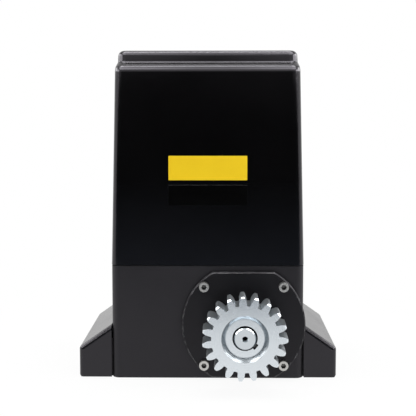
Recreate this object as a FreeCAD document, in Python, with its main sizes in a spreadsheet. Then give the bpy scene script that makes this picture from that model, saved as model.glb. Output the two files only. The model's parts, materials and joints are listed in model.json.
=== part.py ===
import FreeCAD, Part
import Sketcher
import math
import os
import re

# Gate motor: a sliding gate opener with a rack pinion, a worm drive and a hand release.
# Origin at the middle of the base underside, Z up, pinion side towards minus Y, millimetres.

SIZES = {
    # base casting
    "body_width": 200,
    "casting_wall": 6,
    "casting_floor": 6,
    "casting_corner": 8,
    "chamber_wall": 5.5,
    "chamber_lift": 4.7,
    "chamber_side_gap": 10,
    "wheel_clearance": 7,
    "deck_thick": 8,
    "deck_gap": 0.3,
    "deck_play": 0.2,
    "bay_depth": 44,
    "motor_front_gap": 10,
    "post_radius": 8,
    "post_inset_x": 16,
    "post_inset_y": 21,
    "inner_corner": 2,
    "tap_depth": 14,
    "lip_height": 14,
    "lip_play": 0.6,
    # foot brackets and their covers
    "foot_reach": 31,
    "foot_thick": 8,
    "foot_leg": 6,
    "foot_rise": 40,
    "foot_bend": 2.5,
    "foot_setback": 7,
    "foot_screw_radius": 4,
    "foot_screw_head": 6.5,
    "foot_screw_height": 6,
    "foot_screw_socket": 6,
    "foot_screw_socket_depth": 3,
    "foot_screw_lift": 26,
    "foot_screw_spread": 18,
    "rib_play": 0.3,
    "slot_width": 11,
    "slot_length": 18,
    "slot_reach": 18,
    "slot_inset": 26,
    "wing_gap": 0.8,
    "wing_reach": 35,
    "wing_inner_height": 55.3,
    "wing_outer_height": 31.3,
    "wing_setback": 2.8,
    "wing_wall": 2.5,
    "wing_round": 5,
    "wing_heel": 2,
    "rib_thick": 3,
    "rib_spread": 35,
    # top cover
    "cover_overhang": 0.3,
    "cover_wall": 3,
    "seam_height": 1,
    "seal_setback": 1.2,
    "seal_play": 0.2,
    "shoulder_height": 201.2,
    "cover_draft": 4.4,
    "slope_height": 4,
    "slope_side_inset": 0.5,
    "slope_front_inset": 1.6,
    "ledge_height": 5,
    "crown_side_inset": 2.2,
    "crown_front_inset": 9,
    "crown_height": 12,
    "crown_draft": 0.6,
    "cover_corner": 9,
    "shoulder_round": 6,
    "ledge_round": 4,
    "foot_round": 2,
    "crown_round": 6,
    "cover_screw_lift": 8,
    "cover_screw_y": 32,
    "cover_screw_radius": 2,
    "cover_screw_length": 10,
    "cover_screw_head": 4,
    "cover_screw_sink": 0.6,
    "cover_screw_head_thick": 1.6,
    "cover_boss_radius": 5,
    "cover_boss_length": 8,
    "screw_play": 0.2,
    # output flange
    "flange_rim": 17,
    "flange_flat_rim": 3,
    "flange_thick": 6,
    "flange_chamfer": 1,
    "flange_web": 2,
    "flange_screw_rim": 11,
    "spigot_play": 0.05,
    "screw_radius": 3,
    "screw_head_radius": 5,
    "screw_head_height": 6,
    "screw_socket": 5,
    "screw_socket_depth": 4.2,
    "screw_grip": 12,
    "boss_radius": 7,
    "boss_depth": 16,
    # output shaft and pinion
    "seal_width": 7,
    "seal_radius": 20,
    "shaft_radius": 14,
    "seat_radius": 11,
    "train_radius": 12.5,
    "tail_radius": 10,
    "fit_play": 0.05,
    "pinion_teeth": 19,
    "pinion_module": 4,
    "pinion_width": 28,
    "pinion_front": 64,
    "pinion_tip_chamfer": 1.5,
    "pinion_phase": 131.8,
    "hub_length": 10,
    "hub_radius": 18,
    "recess_rim": 23.2,
    "recess_floor": 19.2,
    "recess_depth": 5,
    "bore_chamfer": 1.4,
    "bore_lead": 4.5,
    "shaft_setback": 1,
    "shaft_chamfer": 1,
    "centre_radius": 3,
    "centre_pilot": 1.2,
    "centre_cone": 3,
    "centre_depth": 7,
    "key_angle": -38.5,
    "key_width": 6,
    "key_seat": 7.5,
    "key_top": 13.5,
    "key_slot_top": 14.4,
    "key_setback": 8,
    "grub_radius": 3,
    "grub_socket": 2.4,
    "key_play": 0.02,
    "key_end_gap": 1,
    # worm drive
    "wheel_teeth": 30,
    "wheel_module": 2.5,
    "wheel_width": 20,
    "rim_radius": 28,
    "hub_stand": 4,
    "worm_radius": 14,
    "worm_root_gap": 0.5,
    "worm_turns": 6,
    "mesh_play": 0.45,
    "worm_bore_gap": 1.5,
    "worm_tube_wall": 4,
    # clutch and its spring
    "ring_thick": 1.5,
    "ring_radius": 16,
    "ring_groove": 0.8,
    "sleeve_gap": 2.5,
    "sleeve_length": 16,
    "sleeve_radius": 26,
    "groove_radius": 21,
    "groove_width": 5,
    "groove_setback": 5.5,
    "dog_inner": 17,
    "dog_outer": 25,
    "dog_width": 9,
    "dog_length": 7,
    "dog_play": 0.3,
    "pocket_depth": 6,
    "clutch_key_top": 15.5,
    "clutch_key_seat": 9,
    "spring_length": 19.5,
    "spring_radius": 17,
    "spring_wire": 1.2,
    "spring_turns": 4,
    "washer_thick": 2,
    "washer_radius": 21,
    "spacer_radius": 16,
    # bearings
    "front_bearing_radius": 26,
    "front_bearing_width": 15,
    "rear_bearing_radius": 23.5,
    "rear_bearing_width": 14,
    "lower_bearing_radius": 17.5,
    "lower_bearing_width": 11,
    "upper_bearing_radius": 21,
    "upper_bearing_width": 12,
    "top_bearing_radius": 16,
    "top_bearing_width": 10,
    "bearing_ring": 3,
    "shield_depth": 0.8,
    "chamber_back": 18,
    # motor
    "motor_radius": 54,
    "motor_flange_thick": 8,
    "motor_spigot_radius": 26,
    "motor_skirt_inset": 7.5,
    "motor_skirt_wall": 2,
    "motor_skirt_length": 14,
    "stator_length": 65,
    "stator_bore": 29,
    "air_gap": 0.5,
    "winding_side_gap": 0.5,
    "winding_height": 11.5,
    "winding_gap": 0.2,
    "cap_skirt_length": 17,
    "cap_thick": 8,
    "cap_boss_radius": 20,
    "cap_boss_height": 10,
    "cap_roof": 4,
    "motor_seal_radius": 16,
    "lower_journal": 7.5,
    "upper_journal": 10,
    "rotor_journal": 9,
    "top_journal": 6,
    "tie_inset": 4,
    "tie_radius": 2.5,
    "tie_head_radius": 4.25,
    "tie_head_height": 5,
    "tie_socket": 4,
    "tie_socket_depth": 2.5,
    "deck_screw_grip": 12,
    "tie_end_gap": 3,
    "rotor_end_gap": 2,
    "shaft_end_gap": 0.5,
    # hand release
    "fork_lift": 36,
    "fork_thick": 4.4,
    "fork_outer": 30,
    "fork_play": 0.4,
    "rod_radius": 4,
    "tongue_thick": 6,
    "cam_radius": 9,
    "cam_throw": 3,
    "cam_gap": 0.3,
    "lever_height": 20,
    "lever_length": 78,
    "lever_thick": 8,
    "lever_stand": 3,
    "lever_pull": 13,
    "lever_pin_radius": 2,
    "lock_offset": 52,
    "lock_radius": 7,
    "lock_rim": 9,
    "lock_rim_thick": 1.5,
    "bolt_length": 16,
    "bolt_thick": 1.6,
    "keeper_width": 16,
    "keeper_thick": 2.5,
    "keeper_gap": 1.2,
    "bolt_width": 8,
    "bolt_play": 0.3,
    "key_hole_width": 1.6,
    "key_hole_length": 8,
    "fork_wall": 4,
    "rod_nose": 3,
    "tongue_play": 0.3,
    "pull_thick": 6,
    "lever_round": 2,
    # electrics
    "bracket_width": 160,
    "bracket_height": 152,
    "sheet_thick": 2,
    "bracket_foot": 14,
    "bracket_gap": 3,
    "standoff_length": 6,
    "standoff_radius": 3,
    "board_width": 140,
    "board_height": 110,
    "board_thick": 1.6,
    "board_lift": 32,
    "board_hole_inset": 6,
    "relay_width": 19,
    "relay_depth": 15,
    "relay_height": 15.5,
    "relay_step": 24,
    "relay_inset": 22,
    "relay_lift": 40,
    "terminal_width": 60,
    "terminal_depth": 12,
    "terminal_height": 11,
    "terminal_lift": 4,
    "terminal_inset": 37,
    "terminal_ports": 12,
    "port_width": 3,
    "port_height": 6,
    "chip_width": 12,
    "chip_depth": 3,
    "chip_height": 34,
    "chip_inset": 32,
    "chip_lift": 45,
    "radio_width": 40,
    "radio_depth": 6,
    "radio_height": 16,
    "radio_inset": 26,
    "radio_lift": 88,
    "capacitor_radius": 18,
    "capacitor_height": 77,
    "capacitor_forward": 26,
    "capacitor_cap": 3,
    "capacitor_step": 1.5,
    "clip_lift": 17,
    "clip_height": 15,
    "clip_thick": 1.5,
    "clip_leg": 12,
    "clip_foot": 6,
    "transformer_width": 48,
    "transformer_stack": 30,
    "transformer_height": 54,
    "transformer_back": 25,
    "yoke_height": 12,
    "coil_overhang": 7,
    "coil_play": 0.3,
    "sensor_width": 20,
    "sensor_thick": 8,
    "sensor_height": 18,
    "sensor_lift": 10,
    "sensor_back": 16,
    "sensor_sheet": 1.5,
    "sensor_margin": 8,
    "sensor_bracket_height": 34,
    "sensor_foot": 8.5,
    "grommet_radius": 10,
    "grommet_bore": 7,
    "grommet_lip": 2,
    "grommet_lip_thick": 2.5,
    "grommet_inset": 4,
    "grommet_y": 22,
}

# Sizes that follow from the ones above
DERIVED = {
    "wheel_radius": "wheel_module * wheel_teeth / 2",
    "chamber_radius": "wheel_radius + wheel_module + wheel_clearance",
    "chamber_outer": "chamber_radius + chamber_wall",
    "output_height": "chamber_outer + chamber_lift",
    "deck_under": "output_height + chamber_outer + deck_gap",
    "base_height": "deck_under + deck_thick",
    "output_x": "body_width / 2 - chamber_outer - chamber_side_gap",
    "wheel_back": "motor_radius + motor_front_gap",
    "body_depth": "wheel_back + motor_radius + bay_depth",
    "front_y": "-body_depth / 2",
    "back_y": "body_depth / 2",
    "motor_x": "output_x - wheel_radius - worm_radius",
    "motor_y": "wheel_back - body_depth / 2",
    "inner_width": "body_width - 2 * casting_wall",
    "inner_depth": "body_depth - 2 * casting_wall",
    "post_x": "body_width / 2 - post_inset_x",
    "post_y": "body_depth / 2 - post_inset_y",
    "slot_x": "body_width / 2 + slot_reach",
    "slot_y": "body_depth / 2 - slot_inset",
    "cover_low": "base_height + seam_height",
    "shoulder_level": "cover_low + shoulder_height",
    "ledge_level": "shoulder_level + slope_height",
    "crown_level": "ledge_level + ledge_height",
    "cover_width": "body_width + 2 * cover_overhang",
    "cover_depth": "body_depth + 2 * cover_overhang",
    "lip_width": "cover_width - 2 * cover_wall - 2 * lip_play",
    "lip_depth": "cover_depth - 2 * cover_wall - 2 * lip_play",
    "flange_radius": "chamber_radius + flange_rim",
    "flange_flat": "chamber_outer + flange_flat_rim",
    "flange_screw_spread": "(chamber_radius + flange_screw_rim) / sqrt(2)",
    "seal_back": "flange_thick - seal_width",
    "bearing_front": "seal_back - flange_web",
    "bearing_back": "bearing_front - front_bearing_width",
    "pinion_back": "pinion_front - pinion_width",
    "hub_back": "pinion_back - hub_length",
    "shaft_front": "pinion_front - shaft_setback",
    "wheel_front": "wheel_width / 2 - wheel_back",
    "wheel_rear": "-wheel_width / 2 - wheel_back",
    "hub_rear": "wheel_rear - hub_stand",
    "sleeve_front": "hub_rear - sleeve_gap",
    "sleeve_rear": "sleeve_front - sleeve_length",
    "groove_front": "sleeve_front - groove_setback",
    "spring_rear": "sleeve_rear - spring_length",
    "chamber_rear": "spring_rear - washer_thick",
    "train_rear": "chamber_rear - rear_bearing_width",
    "worm_pitch": "3.14159265 * wheel_module",
    "worm_tip": "worm_radius + wheel_module",
    "worm_root": "worm_radius - wheel_module - worm_root_gap",
    "worm_bore": "worm_tip + worm_bore_gap",
    "lower_bearing_low": "2 * casting_floor",
    "lower_bearing_high": "lower_bearing_low + lower_bearing_width",
    "upper_bearing_high": "base_height - flange_web",
    "upper_bearing_low": "upper_bearing_high - upper_bearing_width",
    "motor_plate_top": "base_height + motor_flange_thick",
    "stator_low": "motor_plate_top + motor_skirt_length",
    "stator_high": "stator_low + stator_length",
    "cap_low": "stator_high + cap_skirt_length",
    "cap_top": "cap_low + cap_thick + cap_boss_height",
    "top_bearing_high": "cap_top - cap_roof",
    "top_bearing_low": "top_bearing_high - top_bearing_width",
    "rod_z": "output_height + fork_lift",
    "pin_y": "back_y + cam_gap + cam_radius - cam_throw",
    "lever_inner": "back_y + lever_stand",
    "lever_outer": "lever_inner + lever_thick",
    "lock_x": "output_x - lock_offset",
    "bracket_y": "motor_y + motor_radius + bracket_gap",
    "board_y": "bracket_y + sheet_thick + standoff_length",
    "board_face": "board_y + board_thick",
    "board_low": "base_height + board_lift",
    "side_bay_x": "(motor_x + motor_radius + body_width / 2 - cover_wall - cover_draft) / 2",
    "capacitor_y": "motor_y - capacitor_forward",
    "transformer_y": "motor_y + transformer_back",
    "grommet_x": "grommet_inset - post_x",
    "cover_screw_z": "base_height + cover_screw_lift",
    "fork_rear": "groove_front - groove_width / 2 - fork_thick / 2",
    "motor_skirt_radius": "motor_radius - motor_skirt_inset",
    "winding_radius": "motor_skirt_radius - motor_skirt_wall - winding_side_gap",
    "tie_spread": "(motor_radius - tie_inset) / sqrt(2)",
    "clevis_reach": "cam_radius + sqrt(2) * cam_throw + tongue_play",
    "rib_reach": "foot_leg + foot_bend + rib_play",
    "wing_fall": "(wing_inner_height - wing_outer_height) / (wing_reach - wing_gap)",
    "rib_top": "wing_inner_height - (rib_reach - wing_gap) * wing_fall",
    "grub_station": "hub_back + hub_length / 2",
    "pinion_tip": "pinion_module * (pinion_teeth / 2 + 1)",
    "recess_level": "pinion_front - recess_depth",
}

doc = FreeCAD.newDocument("gate_motor")
sheet = doc.addObject("Spreadsheet::Sheet", "dims")
for row, (alias, size) in enumerate(SIZES.items(), start=1):
    sheet.set(f"A{row}", alias)
    sheet.set(f"B{row}", str(size))
    sheet.setAlias(f"B{row}", alias)
doc.recompute()

NODES = []
FORWARD = FreeCAD.Rotation(FreeCAD.Vector(1, 0, 0), 90)
BACKWARD = FreeCAD.Rotation(FreeCAD.Vector(1, 0, 0), -90)
RIGHTWARD = FreeCAD.Rotation(FreeCAD.Vector(0, 1, 0), 90)
LEFTWARD = FreeCAD.Rotation(FreeCAD.Vector(0, 1, 0), -90)
UPWARD = FreeCAD.Rotation()


# Expression text with each named size turned into its sheet cell
def cells(text):
    def swap(match):
        word = match[0]
        if word in DERIVED:
            return "(" + cells(DERIVED[word]) + ")"
        return "dims." + word if word in SIZES else word

    return re.sub(r"[a-z_][a-z_0-9]*", swap, str(text))


def number(text):
    return float(sheet.evalExpression(cells(text)))


def bind(obj, path, text):
    obj.setExpression(path, cells(text))


def place(obj, x="0", y="0", z="0", turn=UPWARD):
    obj.Placement = FreeCAD.Placement(FreeCAD.Vector(number(x), number(y), number(z)), turn)
    for letter, text in zip("xyz", (x, y, z)):
        bind(obj, f"Placement.Base.{letter}", text)
    return obj


# Local Z runs forward along the output axis from the casting's front face
def on_output(obj, angle="0"):
    spin = FreeCAD.Rotation(FreeCAD.Vector(0, 0, 1), number(angle))
    return place(obj, "output_x", "front_y", "output_height", FORWARD.multiply(spin))


def on_motor(obj):
    return place(obj, "motor_x", "motor_y")


def keep(label, obj):
    obj.Label = label
    NODES.append(obj)
    return obj


def box(x, y, z, width, depth, height):
    piece = doc.addObject("Part::Box", "block")
    for path, text in (("Length", width), ("Width", depth), ("Height", height)):
        bind(piece, path, text)
    return place(piece, x, y, z)


def centred_box(x, y, z, width, depth, height):
    return box(f"{x} - ({width}) / 2", f"{y} - ({depth}) / 2", z, width, depth, height)


def rod(x, y, z, radius, length, turn=UPWARD):
    piece = doc.addObject("Part::Cylinder", "rod")
    bind(piece, "Radius", radius)
    bind(piece, "Height", length)
    return place(piece, x, y, z, turn)


def fuse(pieces):
    joined = doc.addObject("Part::MultiFuse", "joined")
    joined.Shapes = pieces
    return joined


def cut(base, tools):
    result = doc.addObject("Part::Cut", "trimmed")
    result.Base = base
    result.Tool = fuse(tools) if len(tools) > 1 else tools[0]
    return result


def common(first, second):
    result = doc.addObject("Part::Common", "shared")
    result.Base = first
    result.Tool = second
    return result


def group(pieces):
    together = doc.addObject("Part::Compound", "together")
    together.Links = pieces
    return together


# Upright rectangular block with rounded corners, centred on the origin
def slab(width, depth, low, high, corner):
    block = centred_box("0", "0", low, width, depth, f"{high} - ({low})")
    doc.recompute()
    rounded = doc.addObject("Part::Fillet", "rounded")
    rounded.Base = block
    upright = [i for i, e in enumerate(block.Shape.Edges, 1) if abs(e.tangentAt(0).z) > 0.9]
    rounded.Edges = [(i, number(corner), number(corner)) for i in upright]
    return rounded


def sketch_on(body, role, height="0"):
    sketch = body.newObject("Sketcher::SketchObject", "profile")
    plane = next(f for f in body.Origin.OriginFeatures if f.Role == role)
    sketch.AttachmentSupport = [(plane, "")]
    sketch.MapMode = "FlatFace"
    bind(sketch, "AttachmentOffset.Base.z", height)
    return sketch


def outline(sketch, points):
    spots = [FreeCAD.Vector(number(x), number(y), 0) for x, y in points]
    count = len(points)
    for i in range(count):
        sketch.addGeometry(Part.LineSegment(spots[i], spots[(i + 1) % count]), False)
    for i, spot in enumerate(points):
        sketch.addConstraint(Sketcher.Constraint("Coincident", i, 2, (i + 1) % count, 1))
        for kind, text in zip(("DistanceX", "DistanceY"), spot):
            row = sketch.addConstraint(Sketcher.Constraint(kind, -1, 1, i, 1, number(text)))
            bind(sketch, f"Constraints[{row}]", text)


# Solid of revolution about local Z from points of radius and height
def turned(label, points):
    body = doc.addObject("PartDesign::Body", label)
    profile = sketch_on(body, "XZ_Plane")
    outline(profile, points)
    turn = body.newObject("PartDesign::Revolution", "turn")
    turn.Profile = profile
    turn.ReferenceAxis = (profile, ["V_Axis"])
    turn.Angle = 360
    return body


# Flat outline in local X and Y, padded along local Z
def prism(label, points, thick, height="0"):
    body = doc.addObject("PartDesign::Body", label)
    profile = sketch_on(body, "XY_Plane", height)
    outline(profile, points)
    pad = body.newObject("PartDesign::Pad", "pad")
    pad.Profile = profile
    bind(pad, "Length", thick)
    return body


def dress(body, kind, size, edges):
    base = body.Tip
    feature = body.newObject("PartDesign::" + kind, "edge_" + kind.lower())
    feature.Base = (base, edges)
    bind(feature, "Radius" if kind == "Fillet" else "Size", size)
    doc.recompute()
    return feature


def edges_where(body, test):
    doc.recompute()
    return [f"Edge{i}" for i, e in enumerate(body.Shape.Edges, 1) if test(e)]


def level(height):
    target = number(height)
    return lambda edge: all(abs(v.Z - target) < 0.01 for v in edge.Vertexes)


# Rolling bearing with sunk shields, as one closed ring
def bearing(label, bore, outer, low, high):
    inner = f"{bore} + fit_play"
    rim = f"{outer} - fit_play"
    ring_in = f"{bore} + bearing_ring"
    ring_out = f"{outer} - bearing_ring"
    dip_low = f"{low} + shield_depth"
    dip_high = f"{high} - shield_depth"
    lower = [(inner, low), (ring_in, low), (ring_in, dip_low), (ring_out, dip_low), (ring_out, low)]
    upper = [(ring_out, high), (ring_out, dip_high), (ring_in, dip_high), (ring_in, high)]
    return turned(label, lower + [(rim, low), (rim, high)] + upper + [(inner, high)])


def ring(label, inner, outer, low, high):
    return turned(label, [(inner, low), (outer, low), (outer, high), (inner, high)])


# Involute tooth outline about local Z, first tooth on local X
def tooth_outline(teeth, module, thinning, phase):
    pressure = math.radians(20)
    pitch = module * teeth / 2
    base = pitch * math.cos(pressure)
    tip = pitch + module
    root = pitch - 1.25 * module
    blend = 0.3 * module

    def half(radius):
        lean = math.acos(min(1, base / radius))
        spread = math.tan(pressure) - pressure - math.tan(lean) + lean
        return math.pi / (2 * teeth) - thinning / (2 * pitch) + spread

    low = max(base, root + blend)
    flank = [(root, half(low) + blend / root), (root + 0.3 * blend, half(low) + 0.4 * blend / root)]
    flank += [(low + (tip - low) * k / 5, half(low + (tip - low) * k / 5)) for k in range(6)]

    def spot(radius, angle):
        return FreeCAD.Vector(radius * math.cos(angle), radius * math.sin(angle), 0)

    edges = []
    for k in range(teeth):
        mid = math.radians(phase) + 2 * math.pi * k / teeth
        after = mid + 2 * math.pi / teeth
        rising = [spot(r, mid - a) for r, a in flank]
        falling = [spot(r, mid + a) for r, a in reversed(flank)]
        for run in (rising, falling):
            curve = Part.BSplineCurve()
            curve.interpolate(run)
            edges.append(curve.toShape())
        edges.append(Part.Arc(rising[-1], spot(tip, mid), falling[0]).toShape())
        gap = (mid + after) / 2
        edges.append(Part.Arc(falling[-1], spot(root, gap), spot(root, after - flank[0][1])).toShape())
    return Part.Wire(Part.__sortEdges__(edges))


# Corner points of a square pattern, as pairs of signs
CORNERS = [(sx, sy) for sx in (-1, 1) for sy in (-1, 1)]


# Base casting: walls, floor, gear chamber, worm tube, posts and lip; cutting tools overrun by 1 mm
def base_casting():
    block = slab("body_width", "body_depth", "0", "base_height", "casting_corner")
    hollow = slab("inner_width", "inner_depth", "casting_floor", "base_height + 1", "inner_corner")
    chamber = rod("output_x", "front_y + 1", "output_height", "chamber_outer",
                  "chamber_back - chamber_rear - 1", BACKWARD)
    worm_tube = rod("motor_x", "motor_y", "1", "motor_spigot_radius + worm_tube_wall", "deck_under - 1")
    lip = slab("lip_width", "lip_depth", "base_height - 1", "base_height + lip_height", "casting_corner")
    lip_hollow = slab("inner_width", "inner_depth", "base_height - 2", "base_height + lip_height + 1",
                      "inner_corner")
    solids = [cut(block, [hollow]), chamber, worm_tube, cut(lip, [lip_hollow])]
    bores = [
        rod("output_x", "front_y - 1", "output_height", "chamber_radius", "1 - chamber_rear", BACKWARD),
        rod("output_x", "front_y - 1", "output_height", "rear_bearing_radius", "1 - train_rear", BACKWARD),
        rod("output_x", "front_y - chamber_rear - 1", "rod_z", "rod_radius + fit_play", "body_depth",
            BACKWARD),
        rod("motor_x", "motor_y", "lower_bearing_high", "worm_bore", "deck_under"),
        rod("motor_x", "motor_y", "lower_bearing_low", "lower_bearing_radius", "deck_under"),
        rod("motor_x", "motor_y", "upper_bearing_low - 2", "motor_spigot_radius + 2 * fit_play",
            "deck_under"),
        rod("grommet_x", "grommet_y", "-1", "grommet_radius + grommet_lip", "casting_floor + 2"),
    ]
    for sx, sy in CORNERS:
        screw_x = f"output_x + {sx} * flange_screw_spread"
        screw_z = f"output_height + {sy} * flange_screw_spread"
        solids.append(rod(f"{sx} * post_x", f"{sy} * post_y", "1", "post_radius", "deck_under - 1"))
        solids.append(rod(screw_x, "front_y + 1", screw_z, "boss_radius", "boss_depth", BACKWARD))
        bores.append(rod(screw_x, "front_y - 1", screw_z, "screw_radius + fit_play", "tap_depth", BACKWARD))
        bores.append(rod(f"{sx} * post_x", f"{sy} * post_y", "deck_under - tap_depth",
                         "tie_radius + fit_play", "tap_depth + 1"))
    for sx in (-1, 1):
        for sy in (-1, 1):
            bores.append(rod(f"{sx} * body_width / 2 - casting_wall - 1", f"{sy} * foot_screw_spread",
                             "foot_screw_lift", "foot_screw_radius + fit_play", "2 * casting_wall + 2",
                             RIGHTWARD))
        boss_x = f"{sx} * (inner_width / 2 - 1) - cover_boss_length / 2"
        solids.append(rod(boss_x, "cover_screw_y", "cover_screw_z", "cover_boss_radius",
                          "cover_boss_length", RIGHTWARD))
        bores.append(rod(f"{sx} * inner_width / 2 - cover_screw_length", "cover_screw_y", "cover_screw_z",
                         "cover_screw_radius + fit_play", "2 * cover_screw_length", RIGHTWARD))
    return cut(fuse(solids), bores)


# Angle bracket along one side of the casting, with two slots for anchor bolts
def foot_bracket(label, side):
    wall = f"{side} * body_width / 2"
    leg = f"{wall} + {side} * foot_leg"
    edge = f"{wall} + {side} * foot_reach"
    angle = prism(label + "_angle", [(wall, "0"), (edge, "0"), (edge, "foot_thick"), (leg, "foot_thick"),
                                     (leg, "foot_rise"), (wall, "foot_rise")],
                  "body_depth - 2 * foot_setback")
    corner = (number(leg), number("foot_thick"))
    dress(angle, "Fillet", "foot_bend",
          edges_where(angle, lambda e: math.dist((e.CenterOfMass.x, e.CenterOfMass.y), corner) < 0.1))
    place(angle, "0", "body_depth / 2 - foot_setback", "0", FORWARD)
    holes = []
    for sy in (-1, 1):
        holes += foot_slot(f"{side} * slot_x", f"{sy} * slot_y")
        holes.append(rod(f"{side} * (body_width / 2 + foot_leg / 2) - foot_leg", f"{sy} * foot_screw_spread",
                         "foot_screw_lift", "foot_screw_radius + screw_play", "2 * foot_leg", RIGHTWARD))
    return cut(angle, holes)


def foot_screws():
    screws = []
    for side, turn in ((-1, LEFTWARD), (1, RIGHTWARD)):
        for sy in (-1, 1):
            screw = socket_screw("0", "0", "0", "foot_screw_radius",
                                 "foot_leg + casting_wall - shaft_end_gap", "foot_screw_head",
                                 "foot_screw_height", "foot_screw_socket", "foot_screw_socket_depth")
            screws.append(place(group([screw]), f"{side} * (body_width / 2 + foot_leg)",
                                f"{sy} * foot_screw_spread", "foot_screw_lift", turn))
    return group(screws)


def foot_slot(x, y):
    reach = "(slot_length - slot_width) / 2"
    ends = [rod(f"{x} + {end} * {reach}", y, "-1", "slot_width / 2", "foot_thick + 2") for end in (-1, 1)]
    return ends + [centred_box(x, y, "-1", f"2 * {reach}", "slot_width", "foot_thick + 2")]


def deck_plate():
    plate = slab("inner_width - 2 * deck_play", "inner_depth - 2 * deck_play", "deck_under",
                 "base_height", "inner_corner")
    holes = [
        rod("motor_x", "motor_y", "deck_under - 1", "motor_spigot_radius + fit_play", "deck_thick + 2"),
        rod("grommet_x", "grommet_y", "deck_under - 1", "grommet_radius", "deck_thick + 2"),
    ]
    for sx, sy in CORNERS:
        holes.append(rod(f"{sx} * post_x", f"{sy} * post_y", "deck_under - 1", "tie_radius + screw_play",
                         "deck_thick + 2"))
        holes.append(rod(f"motor_x + {sx} * tie_spread", f"motor_y + {sy} * tie_spread",
                         "deck_under + tie_end_gap - 1", "tie_radius + fit_play", "deck_thick"))
    return cut(plate, holes)


# Socket screw standing on a seat, head up along local Z
def socket_screw(x, y, seat, shank, grip, head, height, socket, depth):
    corner = f"({socket}) / sqrt(3)"
    sides = [(f"{corner} * cos({60 * k})", f"{corner} * sin({60 * k})") for k in range(6)]
    hexagon = place(prism("socket", sides, f"{depth} + 1"), x, y, f"{seat} + {height} - ({depth})")
    body = fuse([rod(x, y, f"{seat} - ({grip})", shank, f"{grip} + ({height}) / 2"),
                 rod(x, y, seat, head, height)])
    return cut(body, [hexagon])


def screw_square(spread_x, spread_y, *sizes):
    return group([socket_screw(f"{sx} * ({spread_x})", f"{sy} * ({spread_y})", *sizes) for sx, sy in CORNERS])


def flange_screws():
    return on_output(screw_square("flange_screw_spread", "flange_screw_spread", "flange_thick",
                                  "screw_radius", "flange_thick + screw_grip", "screw_head_radius",
                                  "screw_head_height", "screw_socket", "screw_socket_depth"))


def deck_screws():
    return screw_square("post_x", "post_y", "base_height", "tie_radius", "deck_thick + deck_screw_grip",
                        "tie_head_radius", "tie_head_height", "tie_socket", "tie_socket_depth")


def tie_bolts():
    return on_motor(screw_square("tie_spread", "tie_spread", "cap_low + cap_thick", "tie_radius",
                                 "cap_low + cap_thick - deck_under - tie_end_gap", "tie_head_radius",
                                 "tie_head_height", "tie_socket", "tie_socket_depth"))


# Flange plate with two flats, a spigot in the chamber and seats for the seal and bearing
def output_flange():
    body = doc.addObject("PartDesign::Body", "flange_disc")
    profile = sketch_on(body, "XY_Plane")
    radius = number("flange_radius")
    flat = number("flange_flat")
    sweep = math.asin(flat / radius)
    circle = Part.Circle(FreeCAD.Vector(0, 0, 0), FreeCAD.Vector(0, 0, 1), radius)
    right = Part.ArcOfCircle(circle, -sweep, sweep)
    left = Part.ArcOfCircle(circle, math.pi - sweep, math.pi + sweep)
    top = Part.LineSegment(right.EndPoint, left.StartPoint)
    bottom = Part.LineSegment(left.EndPoint, right.StartPoint)
    profile.addGeometry([right, top, left, bottom], False)
    for arc in (0, 2):
        profile.addConstraint(Sketcher.Constraint("Coincident", arc, 3, -1, 1))
    for first, second in ((0, 1), (1, 2), (2, 3), (3, 0)):
        profile.addConstraint(Sketcher.Constraint("Coincident", first, 2, second, 1))
    row = profile.addConstraint(Sketcher.Constraint("Radius", 0, radius))
    bind(profile, f"Constraints[{row}]", "flange_radius")
    profile.addConstraint(Sketcher.Constraint("Equal", 0, 2))
    for line, side in ((1, 1), (3, -1)):
        profile.addConstraint(Sketcher.Constraint("Horizontal", line))
        row = profile.addConstraint(Sketcher.Constraint("DistanceY", -1, 1, line, 1, side * flat))
        bind(profile, f"Constraints[{row}]", f"{side} * flange_flat")
    pad = body.newObject("PartDesign::Pad", "pad")
    pad.Profile = profile
    bind(pad, "Length", "flange_thick")
    dress(body, "Chamfer", "flange_chamfer", edges_where(body, level("flange_thick")))
    spigot = rod("0", "0", "bearing_back", "chamber_radius - spigot_play", "1 - bearing_back")
    bores = [
        rod("0", "0", "seal_back", "seal_radius", "seal_width + 1"),
        rod("0", "0", "bearing_back - 1", "shaft_radius + 1", "front_bearing_width + flange_web + 2"),
        rod("0", "0", "bearing_back - 1", "front_bearing_radius", "front_bearing_width + 1"),
    ]
    for sx, sy in CORNERS:
        bores.append(rod(f"{sx} * flange_screw_spread", f"{sy} * flange_screw_spread", "-1",
                         "screw_radius + screw_play", "flange_thick + 2"))
    return on_output(cut(fuse([body, spigot]), bores))


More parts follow.
